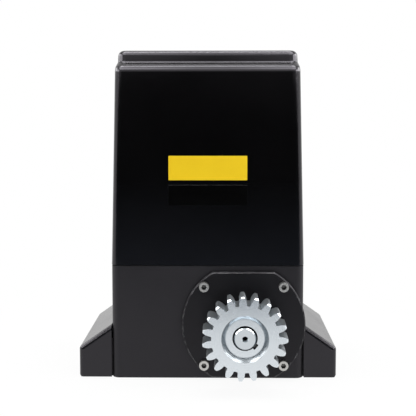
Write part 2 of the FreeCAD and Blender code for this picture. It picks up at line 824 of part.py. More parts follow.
# Rounded rectangle of the cover at one level
def cover_section(body, level_text, width, depth, corner):
    sketch = sketch_on(body, "XY_Plane", level_text)
    x = number(width) / 2
    y = number(depth) / 2
    r = number(corner)
    turns = ((x - r, r - y), (x - r, y - r), (r - x, y - r), (r - x, r - y))
    for k, (cx, cy) in enumerate(turns):
        start = math.pi / 2 * (k - 1)
        circle = Part.Circle(FreeCAD.Vector(cx, cy, 0), FreeCAD.Vector(0, 0, 1), r)
        sketch.addGeometry(Part.ArcOfCircle(circle, start, start + math.pi / 2), False)
    arcs = [sketch.Geometry[k] for k in range(4)]
    for k in range(4):
        sketch.addGeometry(Part.LineSegment(arcs[k].EndPoint, arcs[(k + 1) % 4].StartPoint), False)
    for k in range(4):
        sketch.addConstraint(Sketcher.Constraint("Tangent", k, 2, 4 + k, 1))
        sketch.addConstraint(Sketcher.Constraint("Tangent", 4 + k, 2, (k + 1) % 4, 1))
        sketch.addConstraint(Sketcher.Constraint("Horizontal" if k % 2 else "Vertical", 4 + k))
        if k:
            sketch.addConstraint(Sketcher.Constraint("Equal", 0, k))
    drives = [("Radius", (0,), r, corner)]
    for line, kind, sign, text in ((4, "DistanceX", 1, width), (5, "DistanceY", 1, depth),
                                   (6, "DistanceX", -1, width), (7, "DistanceY", -1, depth)):
        drives.append((kind, (-1, 1, line, 1), sign * number(text) / 2, f"{sign} * ({text}) / 2"))
    for kind, where, start, text in drives:
        row = sketch.addConstraint(Sketcher.Constraint(kind, *where, start))
        bind(sketch, f"Constraints[{row}]", text)
    return sketch


# Drafted walls, a rounded shoulder and a raised crown, drawn in by a wall's thickness for the inside
def cover_loft(label, shrink, low_extra):
    body = doc.addObject("PartDesign::Body", label)
    side = f"2 * cover_draft + 2 * {shrink}"
    slope_w = f"{side} + 2 * slope_side_inset"
    slope_d = f"{side} + 2 * slope_front_inset"
    crown_w = f"{side} + 2 * crown_side_inset"
    crown_d = f"{side} + 2 * crown_front_inset"
    stages = [
        (f"cover_low - {low_extra}", f"2 * {shrink}", f"2 * {shrink}"),
        (f"shoulder_level - {shrink} / 2", side, side),
        (f"ledge_level - {shrink} / 2", slope_w, slope_d),
        (f"crown_level - {shrink} / 2", crown_w, crown_d),
        (f"crown_level + crown_height - {shrink}", f"{crown_w} + 2 * crown_draft",
         f"{crown_d} + 2 * crown_draft"),
    ]
    corner = f"cover_corner - {shrink} * 0.7"
    sections = [cover_section(body, height, f"cover_width - ({less_w})", f"cover_depth - ({less_d})", corner)
                for height, less_w, less_d in stages]
    loft = body.newObject("PartDesign::AdditiveLoft", "loft")
    loft.Profile = sections[-1]
    loft.Sections = sections[-2::-1]
    loft.Ruled = True
    doc.recompute()
    return body


def top_cover():
    outer = cover_loft("cover_outer", "0", "0")
    for size, height in (("shoulder_round", "shoulder_level"), ("ledge_round", "ledge_level"),
                         ("foot_round", "crown_level"), ("crown_round", "crown_level + crown_height")):
        dress(outer, "Fillet", size, edges_where(outer, level(height)))
    holes = [cover_loft("cover_inner", "cover_wall", "1")]
    for sx in (-1, 1):
        seat = "cover_screw_sink + cover_screw_head_thick"
        holes.append(side_rod(sx, "cover_width / 2 - cover_wall - 2", "cover_screw_radius + screw_play",
                              "cover_wall + 4"))
        holes.append(side_rod(sx, f"cover_width / 2 - ({seat})", "cover_screw_head + screw_play",
                              f"{seat} + 2"))
    return cut(outer, holes)


# Cylinder across the cover's side wall, from an inner distance outwards on one side
def side_rod(side, inner, radius, length):
    start = inner if side > 0 else f"-({inner}) - ({length})"
    return rod(start, "cover_screw_y", "cover_screw_z", radius, length, RIGHTWARD)


def cover_screws():
    screws = []
    for sx in (-1, 1):
        seat = "cover_width / 2 - cover_screw_sink - cover_screw_head_thick"
        head = side_rod(sx, seat, "cover_screw_head", "cover_screw_head_thick")
        shank = side_rod(sx, f"{seat} - cover_screw_length + 1", "cover_screw_radius", "cover_screw_length")
        mark_x = f"{sx} * (cover_width / 2 - cover_screw_sink)"
        slots = [centred_box(mark_x, "cover_screw_y", "cover_screw_z - cover_screw_head * 0.6",
                             "cover_screw_head_thick", "1", "cover_screw_head * 1.2"),
                 centred_box(mark_x, "cover_screw_y", "cover_screw_z - 0.5",
                             "cover_screw_head_thick", "cover_screw_head * 1.2", "1")]
        screws.append(cut(fuse([head, shank]), slots))
    return group(screws)


def cover_seal():
    outer = slab("body_width - 2 * seal_setback", "body_depth - 2 * seal_setback", "base_height",
                 "cover_low", "casting_corner")
    inner = slab("lip_width + 2 * seal_play", "lip_depth + 2 * seal_play", "base_height - 1",
                 "cover_low + 1", "casting_corner")
    return cut(outer, [inner])


# Foot cover over the slotted foot on one side, with two ribs that stand on the foot
def foot_cover(label, side):
    near = f"{side} * (body_width / 2 + wing_gap)"
    open_side = f"{near} - {side} * 5"
    far = f"{side} * (body_width / 2 + wing_reach)"
    inner_far = f"{far} - {side} * wing_wall"
    depth = "body_depth - 2 * wing_setback"
    drop = "wing_wall * 1.2"
    shell = prism(label + "_shell", [(near, "0"), (f"{far} - {side} * wing_heel", "0"), (far, "wing_heel"),
                                     (far, "wing_outer_height"), (near, "wing_inner_height")], depth)
    limit = number(near)
    heel = number("wing_heel") + 0.1
    dress(shell, "Fillet", "wing_round",
          edges_where(shell, lambda e: abs(e.CenterOfMass.x - limit) > 1 and e.CenterOfMass.y > heel))
    inside = prism(label + "_inside", [(open_side, "-1"), (inner_far, "-1"),
                                       (inner_far, f"wing_outer_height - {drop}"),
                                       (near, f"wing_inner_height - {drop}"),
                                       (open_side, f"wing_inner_height - {drop}")],
                   f"{depth} - 2 * wing_wall", "wing_wall")
    rib = [(f"{side} * (body_width / 2 + rib_reach)", "foot_thick"), (inner_far, "foot_thick"),
           (inner_far, "wing_outer_height - wing_wall"),
           (f"{side} * (body_width / 2 + rib_reach)", "rib_top - wing_wall")]
    ribs = [prism(label + "_rib", rib, "rib_thick", f"({depth} - rib_thick) / 2 + {sy} * rib_spread")
            for sy in (-1, 1)]
    return place(fuse([cut(shell, [inside])] + ribs), "0", f"({depth}) / 2", "0", FORWARD)


# Output shaft along local Z, with its two keyways on local X
def output_shaft():
    pilot_floor = "shaft_front - centre_depth"
    groove_low = "hub_rear - ring_thick - 2 * fit_play"
    groove = "train_radius - ring_groove"
    shaft = turned("shaft_turning", [
        ("0", "train_rear + 1"), ("tail_radius", "train_rear + 1"), ("tail_radius", "spring_rear"),
        ("train_radius", "spring_rear"), ("train_radius", groove_low), (groove, groove_low),
        (groove, "hub_rear"), ("train_radius", "hub_rear"), ("train_radius", "bearing_front"),
        ("shaft_radius", "bearing_front"), ("shaft_radius", "hub_back"), ("seat_radius", "hub_back"),
        ("seat_radius", "shaft_front - shaft_chamfer"), ("seat_radius - shaft_chamfer", "shaft_front"),
        ("centre_radius", "shaft_front"), ("centre_pilot", "shaft_front - centre_cone"),
        ("centre_pilot", f"{pilot_floor} + centre_pilot / 2"), ("0", pilot_floor)])
    return on_output(cut(shaft, [pinion_key_block("key_play"), clutch_key_block("key_play")]), "key_angle")


def key_block(seat, top, rear, front, play):
    block = box(f"{seat} - {play}", f"-key_width / 2 - {play}", f"{rear} - {play}",
                f"{top} - ({seat}) + {play}", f"key_width + 2 * {play}", f"{front} - ({rear}) + 2 * {play}")
    return group([block])


def pinion_key_block(play):
    return key_block("key_seat", "key_top", "hub_back + key_end_gap", "pinion_front - key_setback", play)


def clutch_key_block(play):
    return key_block("clutch_key_seat", "clutch_key_top", "sleeve_rear + key_end_gap",
                     "sleeve_front - key_end_gap", play)


# Rack pinion: involute teeth trimmed by a chamfered blank, with a dished front and a rear hub
def pinion():
    line = doc.addObject("Part::Feature", "tooth_line")
    line.Shape = tooth_outline(round(number("pinion_teeth")), number("pinion_module"), 0,
                               number("pinion_phase"))
    teeth = doc.addObject("Part::Extrusion", "teeth")
    teeth.Base = line
    teeth.DirMode = "Custom"
    teeth.Dir = FreeCAD.Vector(0, 0, 1)
    teeth.Solid = True
    bind(teeth, "LengthFwd", "pinion_width")
    place(teeth, "0", "0", "pinion_back")
    edge = "pinion_tip - pinion_tip_chamfer"
    outside = "pinion_tip + 0.1"
    core = "seat_radius / 2"
    blank = turned("pinion_blank", [
        (core, "pinion_back"), (edge, "pinion_back"), (outside, "pinion_back + pinion_tip_chamfer"),
        (outside, "pinion_front - pinion_tip_chamfer"), (edge, "pinion_front"),
        ("recess_rim", "pinion_front"), ("recess_floor", "recess_level"), (core, "recess_level")])
    hub = rod("0", "0", "hub_back", "hub_radius", "hub_length + 1")
    bore = turned("pinion_bore", [
        ("0", "hub_back - 1"), ("seat_radius + fit_play", "hub_back - 1"),
        ("seat_radius + fit_play", "recess_level - bore_lead"),
        ("seat_radius + bore_chamfer", "recess_level"), ("seat_radius + bore_chamfer", "pinion_front"),
        ("0", "pinion_front")])
    slot = box(core, "-key_width / 2 - fit_play", "hub_back - 1", f"key_slot_top - {core}",
               "key_width + 2 * fit_play", "hub_length + pinion_width + 2")
    grub = rod(core, "0", "grub_station", "grub_radius + fit_play", "hub_radius", RIGHTWARD)
    return on_output(cut(fuse([common(teeth, blank), hub]), [bore, slot, grub]), "key_angle")


def grub_screw():
    body = rod("key_top + fit_play", "0", "grub_station", "grub_radius", "hub_radius - key_top - 0.5",
               RIGHTWARD)
    socket = box("hub_radius - grub_socket", "-grub_socket / 2", "grub_station - grub_socket / 2",
                 "2 * grub_socket", "grub_socket", "grub_socket")
    return on_output(cut(body, [socket]), "key_angle")


# Worm wheel rim with helical teeth, a tooth space facing the worm
def worm_wheel():
    teeth = round(number("wheel_teeth"))
    module = number("wheel_module")
    width = number("wheel_width")
    lean = math.degrees(width / 2 * module / 2 / number("worm_radius") / (module * teeth / 2))
    phase = 180 + 180 / teeth - number("key_angle")
    ends = []
    for side in (-1, 1):
        line = tooth_outline(teeth, module, number("mesh_play"), phase + side * lean)
        line.translate(FreeCAD.Vector(0, 0, side * width / 2))
        ends.append(line)
    rim = doc.addObject("Part::Feature", "wheel_teeth_loft")
    rim.Shape = Part.makeLoft(ends, True, True)
    place(rim, "0", "0", "-wheel_back")
    bore = rod("0", "0", "wheel_rear - 1", "rim_radius", "wheel_width + 2")
    return on_output(cut(rim, [bore]), "key_angle")


def dog_block(angle, inner, outer, width, low, high):
    block = box(inner, f"-({width}) / 2", low, f"{outer} - ({inner})", width, f"{high} - ({low})")
    turn = FreeCAD.Rotation(FreeCAD.Vector(0, 0, 1), angle)
    return place(block, f"({inner}) * cos({angle}) + ({width}) / 2 * sin({angle})",
                 f"({inner}) * sin({angle}) - ({width}) / 2 * cos({angle})", low, turn)


def wheel_hub():
    core = ring("hub_core", "train_radius + fit_play", "rim_radius", "hub_rear", "wheel_front")
    pockets = [dog_block(angle, "dog_inner - dog_play", "dog_outer + dog_play", "dog_width + 2 * dog_play",
                         "hub_rear - 1", "hub_rear + pocket_depth") for angle in (45, 135, 225, 315)]
    return on_output(cut(core, pockets), "key_angle")


def clutch_sleeve():
    bore = "train_radius + fit_play"
    groove_rear = "groove_front - groove_width"
    body = turned("sleeve_turning", [
        (bore, "sleeve_rear"), ("sleeve_radius", "sleeve_rear"), ("sleeve_radius", groove_rear),
        ("groove_radius", groove_rear), ("groove_radius", "groove_front"),
        ("sleeve_radius", "groove_front"), ("sleeve_radius", "sleeve_front"), (bore, "sleeve_front")])
    dogs = [dog_block(angle, "dog_inner", "dog_outer", "dog_width", "sleeve_front - 1",
                      "sleeve_front + dog_length") for angle in (45, 135, 225, 315)]
    slot = box("0", "-key_width / 2 - fit_play", "sleeve_rear - 1", "clutch_key_top + dog_play",
               "key_width + 2 * fit_play", "sleeve_length + 2")
    return on_output(cut(fuse([body] + dogs), [slot]), "key_angle")


# Open coil spring on the shaft behind the clutch sleeve
def clutch_spring():
    body = doc.addObject("PartDesign::Body", "spring_coil")
    profile = sketch_on(body, "XZ_Plane")
    start = "spring_rear + spring_wire"
    centre = FreeCAD.Vector(number("spring_radius"), number(start), 0)
    profile.addGeometry(Part.Circle(centre, FreeCAD.Vector(0, 0, 1), number("spring_wire")), False)
    for kind, text in (("DistanceX", "spring_radius"), ("DistanceY", start)):
        row = profile.addConstraint(Sketcher.Constraint(kind, -1, 1, 0, 3, number(text)))
        bind(profile, f"Constraints[{row}]", text)
    row = profile.addConstraint(Sketcher.Constraint("Radius", 0, number("spring_wire")))
    bind(profile, f"Constraints[{row}]", "spring_wire")
    coil = body.newObject("PartDesign::AdditiveHelix", "coil")
    coil.Profile = profile
    coil.ReferenceAxis = (profile, ["V_Axis"])
    coil.Mode = 0
    bind(coil, "Height", "spring_length - 2 * spring_wire")
    bind(coil, "Pitch", "(spring_length - 2 * spring_wire) / spring_turns")
    return on_output(body)


# Worm, rotor seat and journals on the vertical motor axis
def worm_shaft():
    body = turned("worm_turning", [
        ("0", "lower_bearing_low + shaft_end_gap"), ("lower_journal", "lower_bearing_low + shaft_end_gap"),
        ("lower_journal", "lower_bearing_high"), ("worm_root", "lower_bearing_high"),
        ("worm_root", "upper_bearing_low"), ("upper_journal", "upper_bearing_low"),
        ("upper_journal", "motor_plate_top + shaft_end_gap"),
        ("rotor_journal", "motor_plate_top + shaft_end_gap"),
        ("rotor_journal", "top_bearing_low"), ("top_journal", "top_bearing_low"),
        ("top_journal", "top_bearing_high - shaft_end_gap"), ("0", "top_bearing_high - shaft_end_gap")])
    thread = sketch_on(body, "XZ_Plane")
    start = "output_height - worm_turns / 2 * worm_pitch"
    foot = "worm_root - worm_root_gap"
    half = "worm_pitch / 4 - mesh_play / 2"
    wide = f"{half} + tan(20) * (worm_radius - ({foot}))"
    thin = f"{half} - tan(20) * wheel_module"
    outline(thread, [(foot, f"{start} - ({wide})"), ("worm_tip", f"{start} - ({thin})"),
                     ("worm_tip", f"{start} + {thin}"), (foot, f"{start} + {wide}")])
    helix = body.newObject("PartDesign::AdditiveHelix", "thread")
    helix.Profile = thread
    helix.ReferenceAxis = (thread, ["V_Axis"])
    helix.Mode = 0
    bind(helix, "Pitch", "worm_pitch")
    bind(helix, "Height", "worm_turns * worm_pitch")
    return on_motor(body)


def motor_flange():
    skirt_in = "motor_skirt_radius - motor_skirt_wall"
    plate = turned("motor_flange_turning", [
        ("upper_bearing_radius", "upper_bearing_low"), ("motor_spigot_radius", "upper_bearing_low"),
        ("motor_spigot_radius", "base_height"), ("motor_radius", "base_height"),
        ("motor_radius", "motor_plate_top"), ("motor_skirt_radius", "motor_plate_top"),
        ("motor_skirt_radius", "stator_low"), (skirt_in, "stator_low"), (skirt_in, "motor_plate_top"),
        ("motor_seal_radius", "motor_plate_top"), ("motor_seal_radius", "motor_plate_top - seal_width"),
        ("upper_journal + 2", "motor_plate_top - seal_width"), ("upper_journal + 2", "upper_bearing_high"),
        ("upper_bearing_radius", "upper_bearing_high")])
    return on_motor(cut(plate, tie_holes("base_height - 1", "motor_flange_thick + 2")))


def tie_holes(low, length):
    return [rod(f"{sx} * tie_spread", f"{sy} * tie_spread", low, "tie_radius + screw_play", length)
            for sx, sy in CORNERS]


def motor_cap():
    skirt_in = "motor_skirt_radius - motor_skirt_wall"
    cap = turned("motor_cap_turning", [
        ("motor_skirt_radius", "stator_high"), ("motor_skirt_radius", "cap_low"),
        ("motor_radius", "cap_low"), ("motor_radius", "cap_low + cap_thick"),
        ("cap_boss_radius", "cap_low + cap_thick"), ("cap_boss_radius", "cap_top"), ("0", "cap_top"),
        ("0", "top_bearing_high"), ("top_bearing_radius", "top_bearing_high"),
        ("top_bearing_radius", "cap_low"), (skirt_in, "cap_low"), (skirt_in, "stator_high")])
    return on_motor(cut(cap, tie_holes("cap_low - 1", "cap_thick + 2")))


def windings():
    coils = []
    for start in ("stator_low - winding_gap - winding_height", "stator_high + winding_gap"):
        coils.append(ring("winding", "stator_bore + 1", "winding_radius", start,
                          f"{start} + winding_height"))
    return on_motor(group(coils))


# Shift fork in the clutch sleeve's groove, carried by the release rod above the output axis
def clutch_fork():
    web = rod("0", "0", "fork_rear", "fork_outer", "fork_thick")
    neck = centred_box("0", "fork_lift / 2", "fork_rear", "2 * rod_radius + 2 * fork_wall", "fork_lift",
                       "fork_thick")
    boss = rod("0", "fork_lift", "fork_rear", "rod_radius + fork_wall", "fork_thick")
    mouth = rod("0", "0", "fork_rear - 1", "groove_radius + fork_play", "fork_thick + 2")
    lower = box("-fork_outer - 1", "-fork_outer - 1", "fork_rear - 1", "2 * fork_outer + 2",
                "fork_outer + 1", "fork_thick + 2")
    hole = rod("0", "fork_lift", "fork_rear - 1", "rod_radius + fit_play", "fork_thick + 2")
    return on_output(cut(fuse([web, neck, boss]), [mouth, lower, hole]))


def release_rod():
    front = "front_y - fork_rear - fork_thick - rod_nose"
    bar = rod("output_x", front, "rod_z", "rod_radius", f"pin_y - ({front}) + rod_radius", BACKWARD)
    flats = [centred_box("output_x", "pin_y", f"rod_z + {low}", "3 * rod_radius", "2 * clevis_reach",
                         "rod_radius") for low in ("tongue_thick / 2", "(-tongue_thick / 2 - rod_radius)")]
    hole = rod("output_x", "pin_y", "rod_z - lever_height / 2", "lever_pin_radius + fit_play", "lever_height")
    return cut(bar, flats + [hole])


# Release lever: a cam hub on the rod's end, an arm along the back and a pull at its end
def release_lever():
    low = "rod_z - lever_height / 2"
    end = "output_x + cam_throw - lever_length"
    hub = rod("output_x + cam_throw", "pin_y + cam_throw", low, "cam_radius", "lever_height")
    root = "output_x + cam_throw"
    arm = prism("lever_arm", [(f"{end} + lever_round", "lever_inner"), (root, "lever_inner"),
                              (root, "lever_outer"),
                              (f"{end} + pull_thick + lever_round", "lever_outer"),
                              (f"{end} + pull_thick", "lever_outer + lever_round"),
                              (f"{end} + pull_thick", "lever_outer + lever_pull"),
                              (end, "lever_outer + lever_pull"), (end, "lever_inner + lever_round")],
                "lever_height")
    place(arm, "0", "0", low)
    slot = rod("output_x", "pin_y", "rod_z - tongue_thick / 2 - tongue_play", "clevis_reach",
               "tongue_thick + 2 * tongue_play")
    pin = rod("output_x", "pin_y", f"{low} - 1", "lever_pin_radius", "lever_height + 2")
    lock = rod("lock_x", "lever_inner - 1", "rod_z", "lock_radius + fit_play", "lever_thick + 2", BACKWARD)
    return cut(fuse([hub, arm]), [slot, pin, lock])


def lock_plug():
    tail = "lever_inner - bolt_thick - bolt_play"
    barrel = rod("lock_x", tail, "rod_z", "lock_radius", f"lever_outer - ({tail})", BACKWARD)
    rim = rod("lock_x", "lever_outer", "rod_z", "lock_rim", "lock_rim_thick", BACKWARD)
    bolt = box("lock_x", tail, "rod_z - bolt_width / 2", "bolt_length", "bolt_thick", "bolt_width")
    slot = centred_box("lock_x", "lever_outer + lock_rim_thick", "rod_z - key_hole_length / 2",
                       "key_hole_width", "key_hole_length", "key_hole_length")
    return cut(fuse([barrel, rim, bolt]), [slot])


# Hook on the back wall that the lock's bolt turns under
def lock_keeper():
    low = "rod_z + lever_height / 2 + keeper_gap"
    foot_low = "rod_z + bolt_length + keeper_gap"
    plate = box("lock_x - keeper_width / 2", "lever_inner + bolt_play", low, "keeper_width", "keeper_thick",
                f"{foot_low} + keeper_thick - ({low})")
    foot = box("lock_x - keeper_width / 2", "back_y", foot_low, "keeper_width",
               "lever_inner + bolt_play - back_y + keeper_thick / 2", "keeper_thick")
    return fuse([plate, foot])


# Electric parts on the deck: bracket, board and what it carries
def board_bracket():
    plate = centred_box("0", "bracket_y + sheet_thick / 2", "base_height", "bracket_width", "sheet_thick",
                        "bracket_height")
    foot = centred_box("0", "bracket_y + bracket_foot / 2", "base_height", "bracket_width", "bracket_foot",
                       "sheet_thick")
    return fuse([plate, foot])


def standoffs():
    posts = []
    for sx in (-1, 1):
        for low in ("board_low + board_hole_inset", "board_low + board_height - board_hole_inset"):
            posts.append(rod(f"{sx} * (board_width / 2 - board_hole_inset)", "bracket_y + sheet_thick", low,
                             "standoff_radius", "standoff_length", BACKWARD))
    return group(posts)


# Block on the board's rear face, at a height above its lower edge
def board_block(x, lift, width, depth, height):
    return centred_box(x, f"board_face + {depth} / 2", f"board_low + {lift}", width, depth, height)


def control_board():
    return centred_box("0", "board_y + board_thick / 2", "board_low", "board_width", "board_thick",
                       "board_height")


def relays():
    return group([board_block(f"relay_inset - board_width / 2 + {k} * relay_step", "relay_lift",
                              "relay_width", "relay_depth", "relay_height") for k in range(3)])


def terminal_blocks():
    blocks = []
    step = "(terminal_width / terminal_ports)"
    for side in (-1, 1):
        middle = f"{side} * (board_width / 2 - terminal_inset)"
        block = board_block(middle, "terminal_lift", "terminal_width", "terminal_depth", "terminal_height")
        ports = []
        for k in range(round(number("terminal_ports"))):
            port_x = f"{middle} - terminal_width / 2 + {k + 0.5} * {step}"
            ports.append(centred_box(port_x, "board_face + terminal_depth * 0.7",
                                     "board_low + terminal_lift - 1", "port_width", "terminal_depth / 3",
                                     "port_height"))
        blocks.append(cut(block, ports))
    return group(blocks)


def control_chips():
    return group([board_block("board_width / 2 - chip_inset", "chip_lift", "chip_width", "chip_depth",
                              "chip_height"),
                  board_block("board_width / 2 - radio_inset", "radio_lift", "radio_width", "radio_depth",
                              "radio_height")])


def run_capacitor():
    top = "base_height + capacitor_height"
    neck = "capacitor_radius - capacitor_step"
    can = turned("capacitor_can", [
        ("0", "base_height"), ("capacitor_radius", "base_height"),
        ("capacitor_radius", f"{top} - capacitor_cap"), (neck, f"{top} - capacitor_cap"), (neck, top),
        ("0", top)])
    return place(can, "side_bay_x", "capacitor_y")


def capacitor_clip():
    low = "base_height + clip_lift"
    band = ring("clip_band", "capacitor_radius + fit_play", "capacitor_radius + clip_thick", low,
                f"{low} + clip_height")
    place(band, "side_bay_x", "capacitor_y")
    leg_x = "side_bay_x + capacitor_radius + clip_thick / 4"
    leg_y = "capacitor_y - clip_leg / 2"
    leg = box(leg_x, leg_y, "base_height", "clip_thick", "clip_leg", "clip_lift + clip_height")
    foot = box(leg_x, leg_y, "base_height", "clip_foot", "clip_leg", "clip_thick")
    return fuse([band, leg, foot])


def transformer_core():
    block = centred_box("side_bay_x", "transformer_y", "base_height", "transformer_width",
                        "transformer_stack", "transformer_height")
    windows = [centred_box(f"side_bay_x + {side} * transformer_width / 4", "transformer_y",
                           "base_height + yoke_height", "transformer_width / 6", "transformer_stack + 2",
                           "transformer_height - 2 * yoke_height") for side in (-1, 1)]
    return cut(block, windows)


def transformer_winding():
    coil = centred_box("side_bay_x", "transformer_y", "base_height + yoke_height + coil_play",
                       "transformer_width * 2 / 3 - 2 * coil_play", "transformer_stack + 2 * coil_overhang",
                       "transformer_height - 2 * yoke_height - 2 * coil_play")
    leg = centred_box("side_bay_x", "transformer_y", "base_height + yoke_height - 1",
                      "transformer_width / 3 + 2 * coil_play", "transformer_stack + 2 * coil_play",
                      "transformer_height - 2 * yoke_height + 2")
    return cut(coil, [leg])


def sensor_bracket():
    plate = centred_box("output_x", "front_y + sensor_back", "base_height", "sensor_width + sensor_margin",
                        "sensor_sheet", "sensor_bracket_height")
    foot = box("output_x - (sensor_width + sensor_margin) / 2", "front_y + sensor_back - sensor_sheet / 2",
               "base_height", "sensor_width + sensor_margin", "sensor_foot", "sensor_sheet")
    return fuse([plate, foot])


def limit_sensor():
    return centred_box("output_x", "front_y + sensor_back - (sensor_sheet + sensor_thick) / 2",
                       "base_height + sensor_lift", "sensor_width", "sensor_thick", "sensor_height")


def cable_grommet():
    flange = "grommet_radius + grommet_lip"
    neck = "grommet_radius - fit_play"
    low = "deck_under - grommet_lip_thick"
    top = "base_height + grommet_lip_thick"
    return place(turned("grommet_turning", [
        ("grommet_bore", low), (flange, low), (flange, "deck_under"), (neck, "deck_under"),
        (neck, "base_height"), (flange, "base_height"), (flange, top), ("grommet_bore", top)]),
        "grommet_x", "grommet_y")


def lever_pin():
    return rod("output_x", "pin_y", "rod_z - lever_height / 2", "lever_pin_radius", "lever_height")


# Fixed housing
keep("base_casting", base_casting())
keep("deck_plate", deck_plate())
keep("deck_screws", deck_screws())
keep("output_flange", output_flange())
keep("flange_screws", flange_screws())
keep("output_oil_seal", on_output(ring("seal_ring", "shaft_radius + fit_play", "seal_radius",
                                       "seal_back", "flange_thick")))
keep("output_front_bearing", on_output(bearing("front_race", "train_radius", "front_bearing_radius",
                                               "bearing_back", "bearing_front")))
keep("output_rear_bearing", on_output(bearing("rear_race", "tail_radius", "rear_bearing_radius",
                                              "train_rear", "chamber_rear")))
keep("top_cover", top_cover())
keep("cover_seal", cover_seal())
keep("cover_screws", cover_screws())
keep("left_foot_bracket", foot_bracket("left_foot_bracket", -1))
keep("right_foot_bracket", foot_bracket("right_foot_bracket", 1))
keep("foot_screws", foot_screws())
keep("left_foot_cover", foot_cover("left_wing", -1))
keep("right_foot_cover", foot_cover("right_wing", 1))
keep("cable_grommet", cable_grommet())
keep("lock_keeper", lock_keeper())

# Motor
keep("motor_flange", motor_flange())
keep("stator_core", on_motor(ring("stator_ring", "stator_bore", "motor_skirt_radius",
                                  "stator_low", "stator_high")))
keep("stator_windings", windings())
keep("motor_end_cap", motor_cap())
keep("motor_tie_bolts", tie_bolts())
keep("worm_lower_bearing", on_motor(bearing("lower_race", "lower_journal", "lower_bearing_radius",
                                            "lower_bearing_low", "lower_bearing_high")))
keep("worm_upper_bearing", on_motor(bearing("upper_race", "upper_journal", "upper_bearing_radius",
                                            "upper_bearing_low", "upper_bearing_high")))
keep("motor_top_bearing", on_motor(bearing("top_race", "top_journal", "top_bearing_radius",
                                           "top_bearing_low", "top_bearing_high")))
keep("motor_oil_seal", on_motor(ring("motor_seal_ring", "upper_journal + fit_play", "motor_seal_radius",
                                     "motor_plate_top - seal_width", "motor_plate_top")))
keep("worm_shaft", worm_shaft())
keep("rotor_core", on_motor(ring("rotor_ring", "rotor_journal + fit_play", "stator_bore - air_gap",
                                 "stator_low + rotor_end_gap", "stator_high - rotor_end_gap")))

# Output train
keep("output_shaft", output_shaft())
keep("pinion_gear", pinion())
keep("pinion_key", on_output(pinion_key_block("0"), "key_angle"))
keep("pinion_grub_screw", grub_screw())
keep("spacer_sleeve", on_output(ring("spacer", "train_radius + fit_play", "spacer_radius",
                                     "wheel_front", "bearing_back")))
keep("worm_wheel", worm_wheel())
keep("wheel_hub", wheel_hub())
keep("retaining_ring", on_output(ring("snap_ring", "train_radius - ring_groove + fit_play", "ring_radius",
                                      "hub_rear - ring_thick", "hub_rear")))
keep("clutch_key", on_output(clutch_key_block("0"), "key_angle"))
keep("clutch_sleeve", clutch_sleeve())
keep("clutch_spring", clutch_spring())
keep("spring_washer", on_output(ring("spring_seat", "tail_radius + fit_play", "washer_radius",
                                     "chamber_rear", "spring_rear")))

# Hand release
keep("release_rod", release_rod())
keep("clutch_fork", clutch_fork())
keep("release_lever", release_lever())
keep("lever_pin", lever_pin())
keep("lock_plug", lock_plug())

# Electric parts
keep("board_bracket", board_bracket())
keep("board_standoffs", standoffs())
keep("control_board", control_board())
keep("relays", relays())
keep("terminal_blocks", terminal_blocks())
keep("control_chips", control_chips())
keep("run_capacitor", run_capacitor())
keep("capacitor_clip", capacitor_clip())
keep("transformer_core", transformer_core())
keep("transformer_winding", transformer_winding())
keep("sensor_bracket", sensor_bracket())
keep("limit_sensor", limit_sensor())

doc.recompute()
for obj in doc.Objects:
    if "Invalid" in obj.State or "Error" in obj.State:
        raise RuntimeError(f"{obj.Label} did not build: {obj.State}")
os.makedirs("parts", exist_ok=True)
for node in NODES:
    shape = node.Shape
    if shape.isNull() or not shape.isValid() or not shape.Solids:
        raise RuntimeError(f"{node.Label} is not a closed solid")
    shape.exportStep(f"parts/{node.Label}.step")
    print(node.Label, len(shape.Solids), round(shape.Volume))
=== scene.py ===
# %% [markdown]
# A sliding gate motor, dressed for a product picture. Its shape is finished before this file
# starts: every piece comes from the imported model, in metres, with the pinion towards minus Y.
# This lesson adds what the solids lack, which is a camera, a studio, finishes and two plates.

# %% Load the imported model
import json
import math
import bmesh
import bpy
from mathutils import Matrix, Vector


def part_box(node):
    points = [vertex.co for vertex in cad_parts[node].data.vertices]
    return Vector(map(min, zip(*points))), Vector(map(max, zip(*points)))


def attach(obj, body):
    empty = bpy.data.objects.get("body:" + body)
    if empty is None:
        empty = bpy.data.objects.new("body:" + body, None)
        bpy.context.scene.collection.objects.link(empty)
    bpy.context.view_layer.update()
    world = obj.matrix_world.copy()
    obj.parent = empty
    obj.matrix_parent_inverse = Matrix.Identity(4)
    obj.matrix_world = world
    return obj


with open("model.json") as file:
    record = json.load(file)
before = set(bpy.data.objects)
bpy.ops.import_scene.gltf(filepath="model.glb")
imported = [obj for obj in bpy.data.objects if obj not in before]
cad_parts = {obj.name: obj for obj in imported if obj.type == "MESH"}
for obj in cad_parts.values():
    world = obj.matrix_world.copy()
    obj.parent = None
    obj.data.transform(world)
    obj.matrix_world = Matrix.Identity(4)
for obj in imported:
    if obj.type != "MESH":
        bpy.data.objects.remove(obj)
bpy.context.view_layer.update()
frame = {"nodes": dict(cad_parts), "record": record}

scene = bpy.context.scene
nodes = frame["nodes"]

# %% [markdown]
# The camera stands a metre in front, a little above the middle, and looks slightly down. Its place
# was worked out from the straight edges of the housing: two parallel edges that lean together fix
# the distance, and the wing tops that can just be seen fix the height. The long lens is shifted
# downwards, as on a view camera, so the housing stays nearly upright while it is seen from above.

# %% Stand the camera
CAMERA_PLACE = Vector((0.0139, -0.9938, 0.278))
LOOK_DOWN = 0.0795
LOOK_LEFT = 0.0146
LEAN = -0.0006
FOCAL_MM = 77.0
SENSOR_MM = 36.0
SHIFT_DOWN = 0.0614
NEAREST_SEEN = 0.05

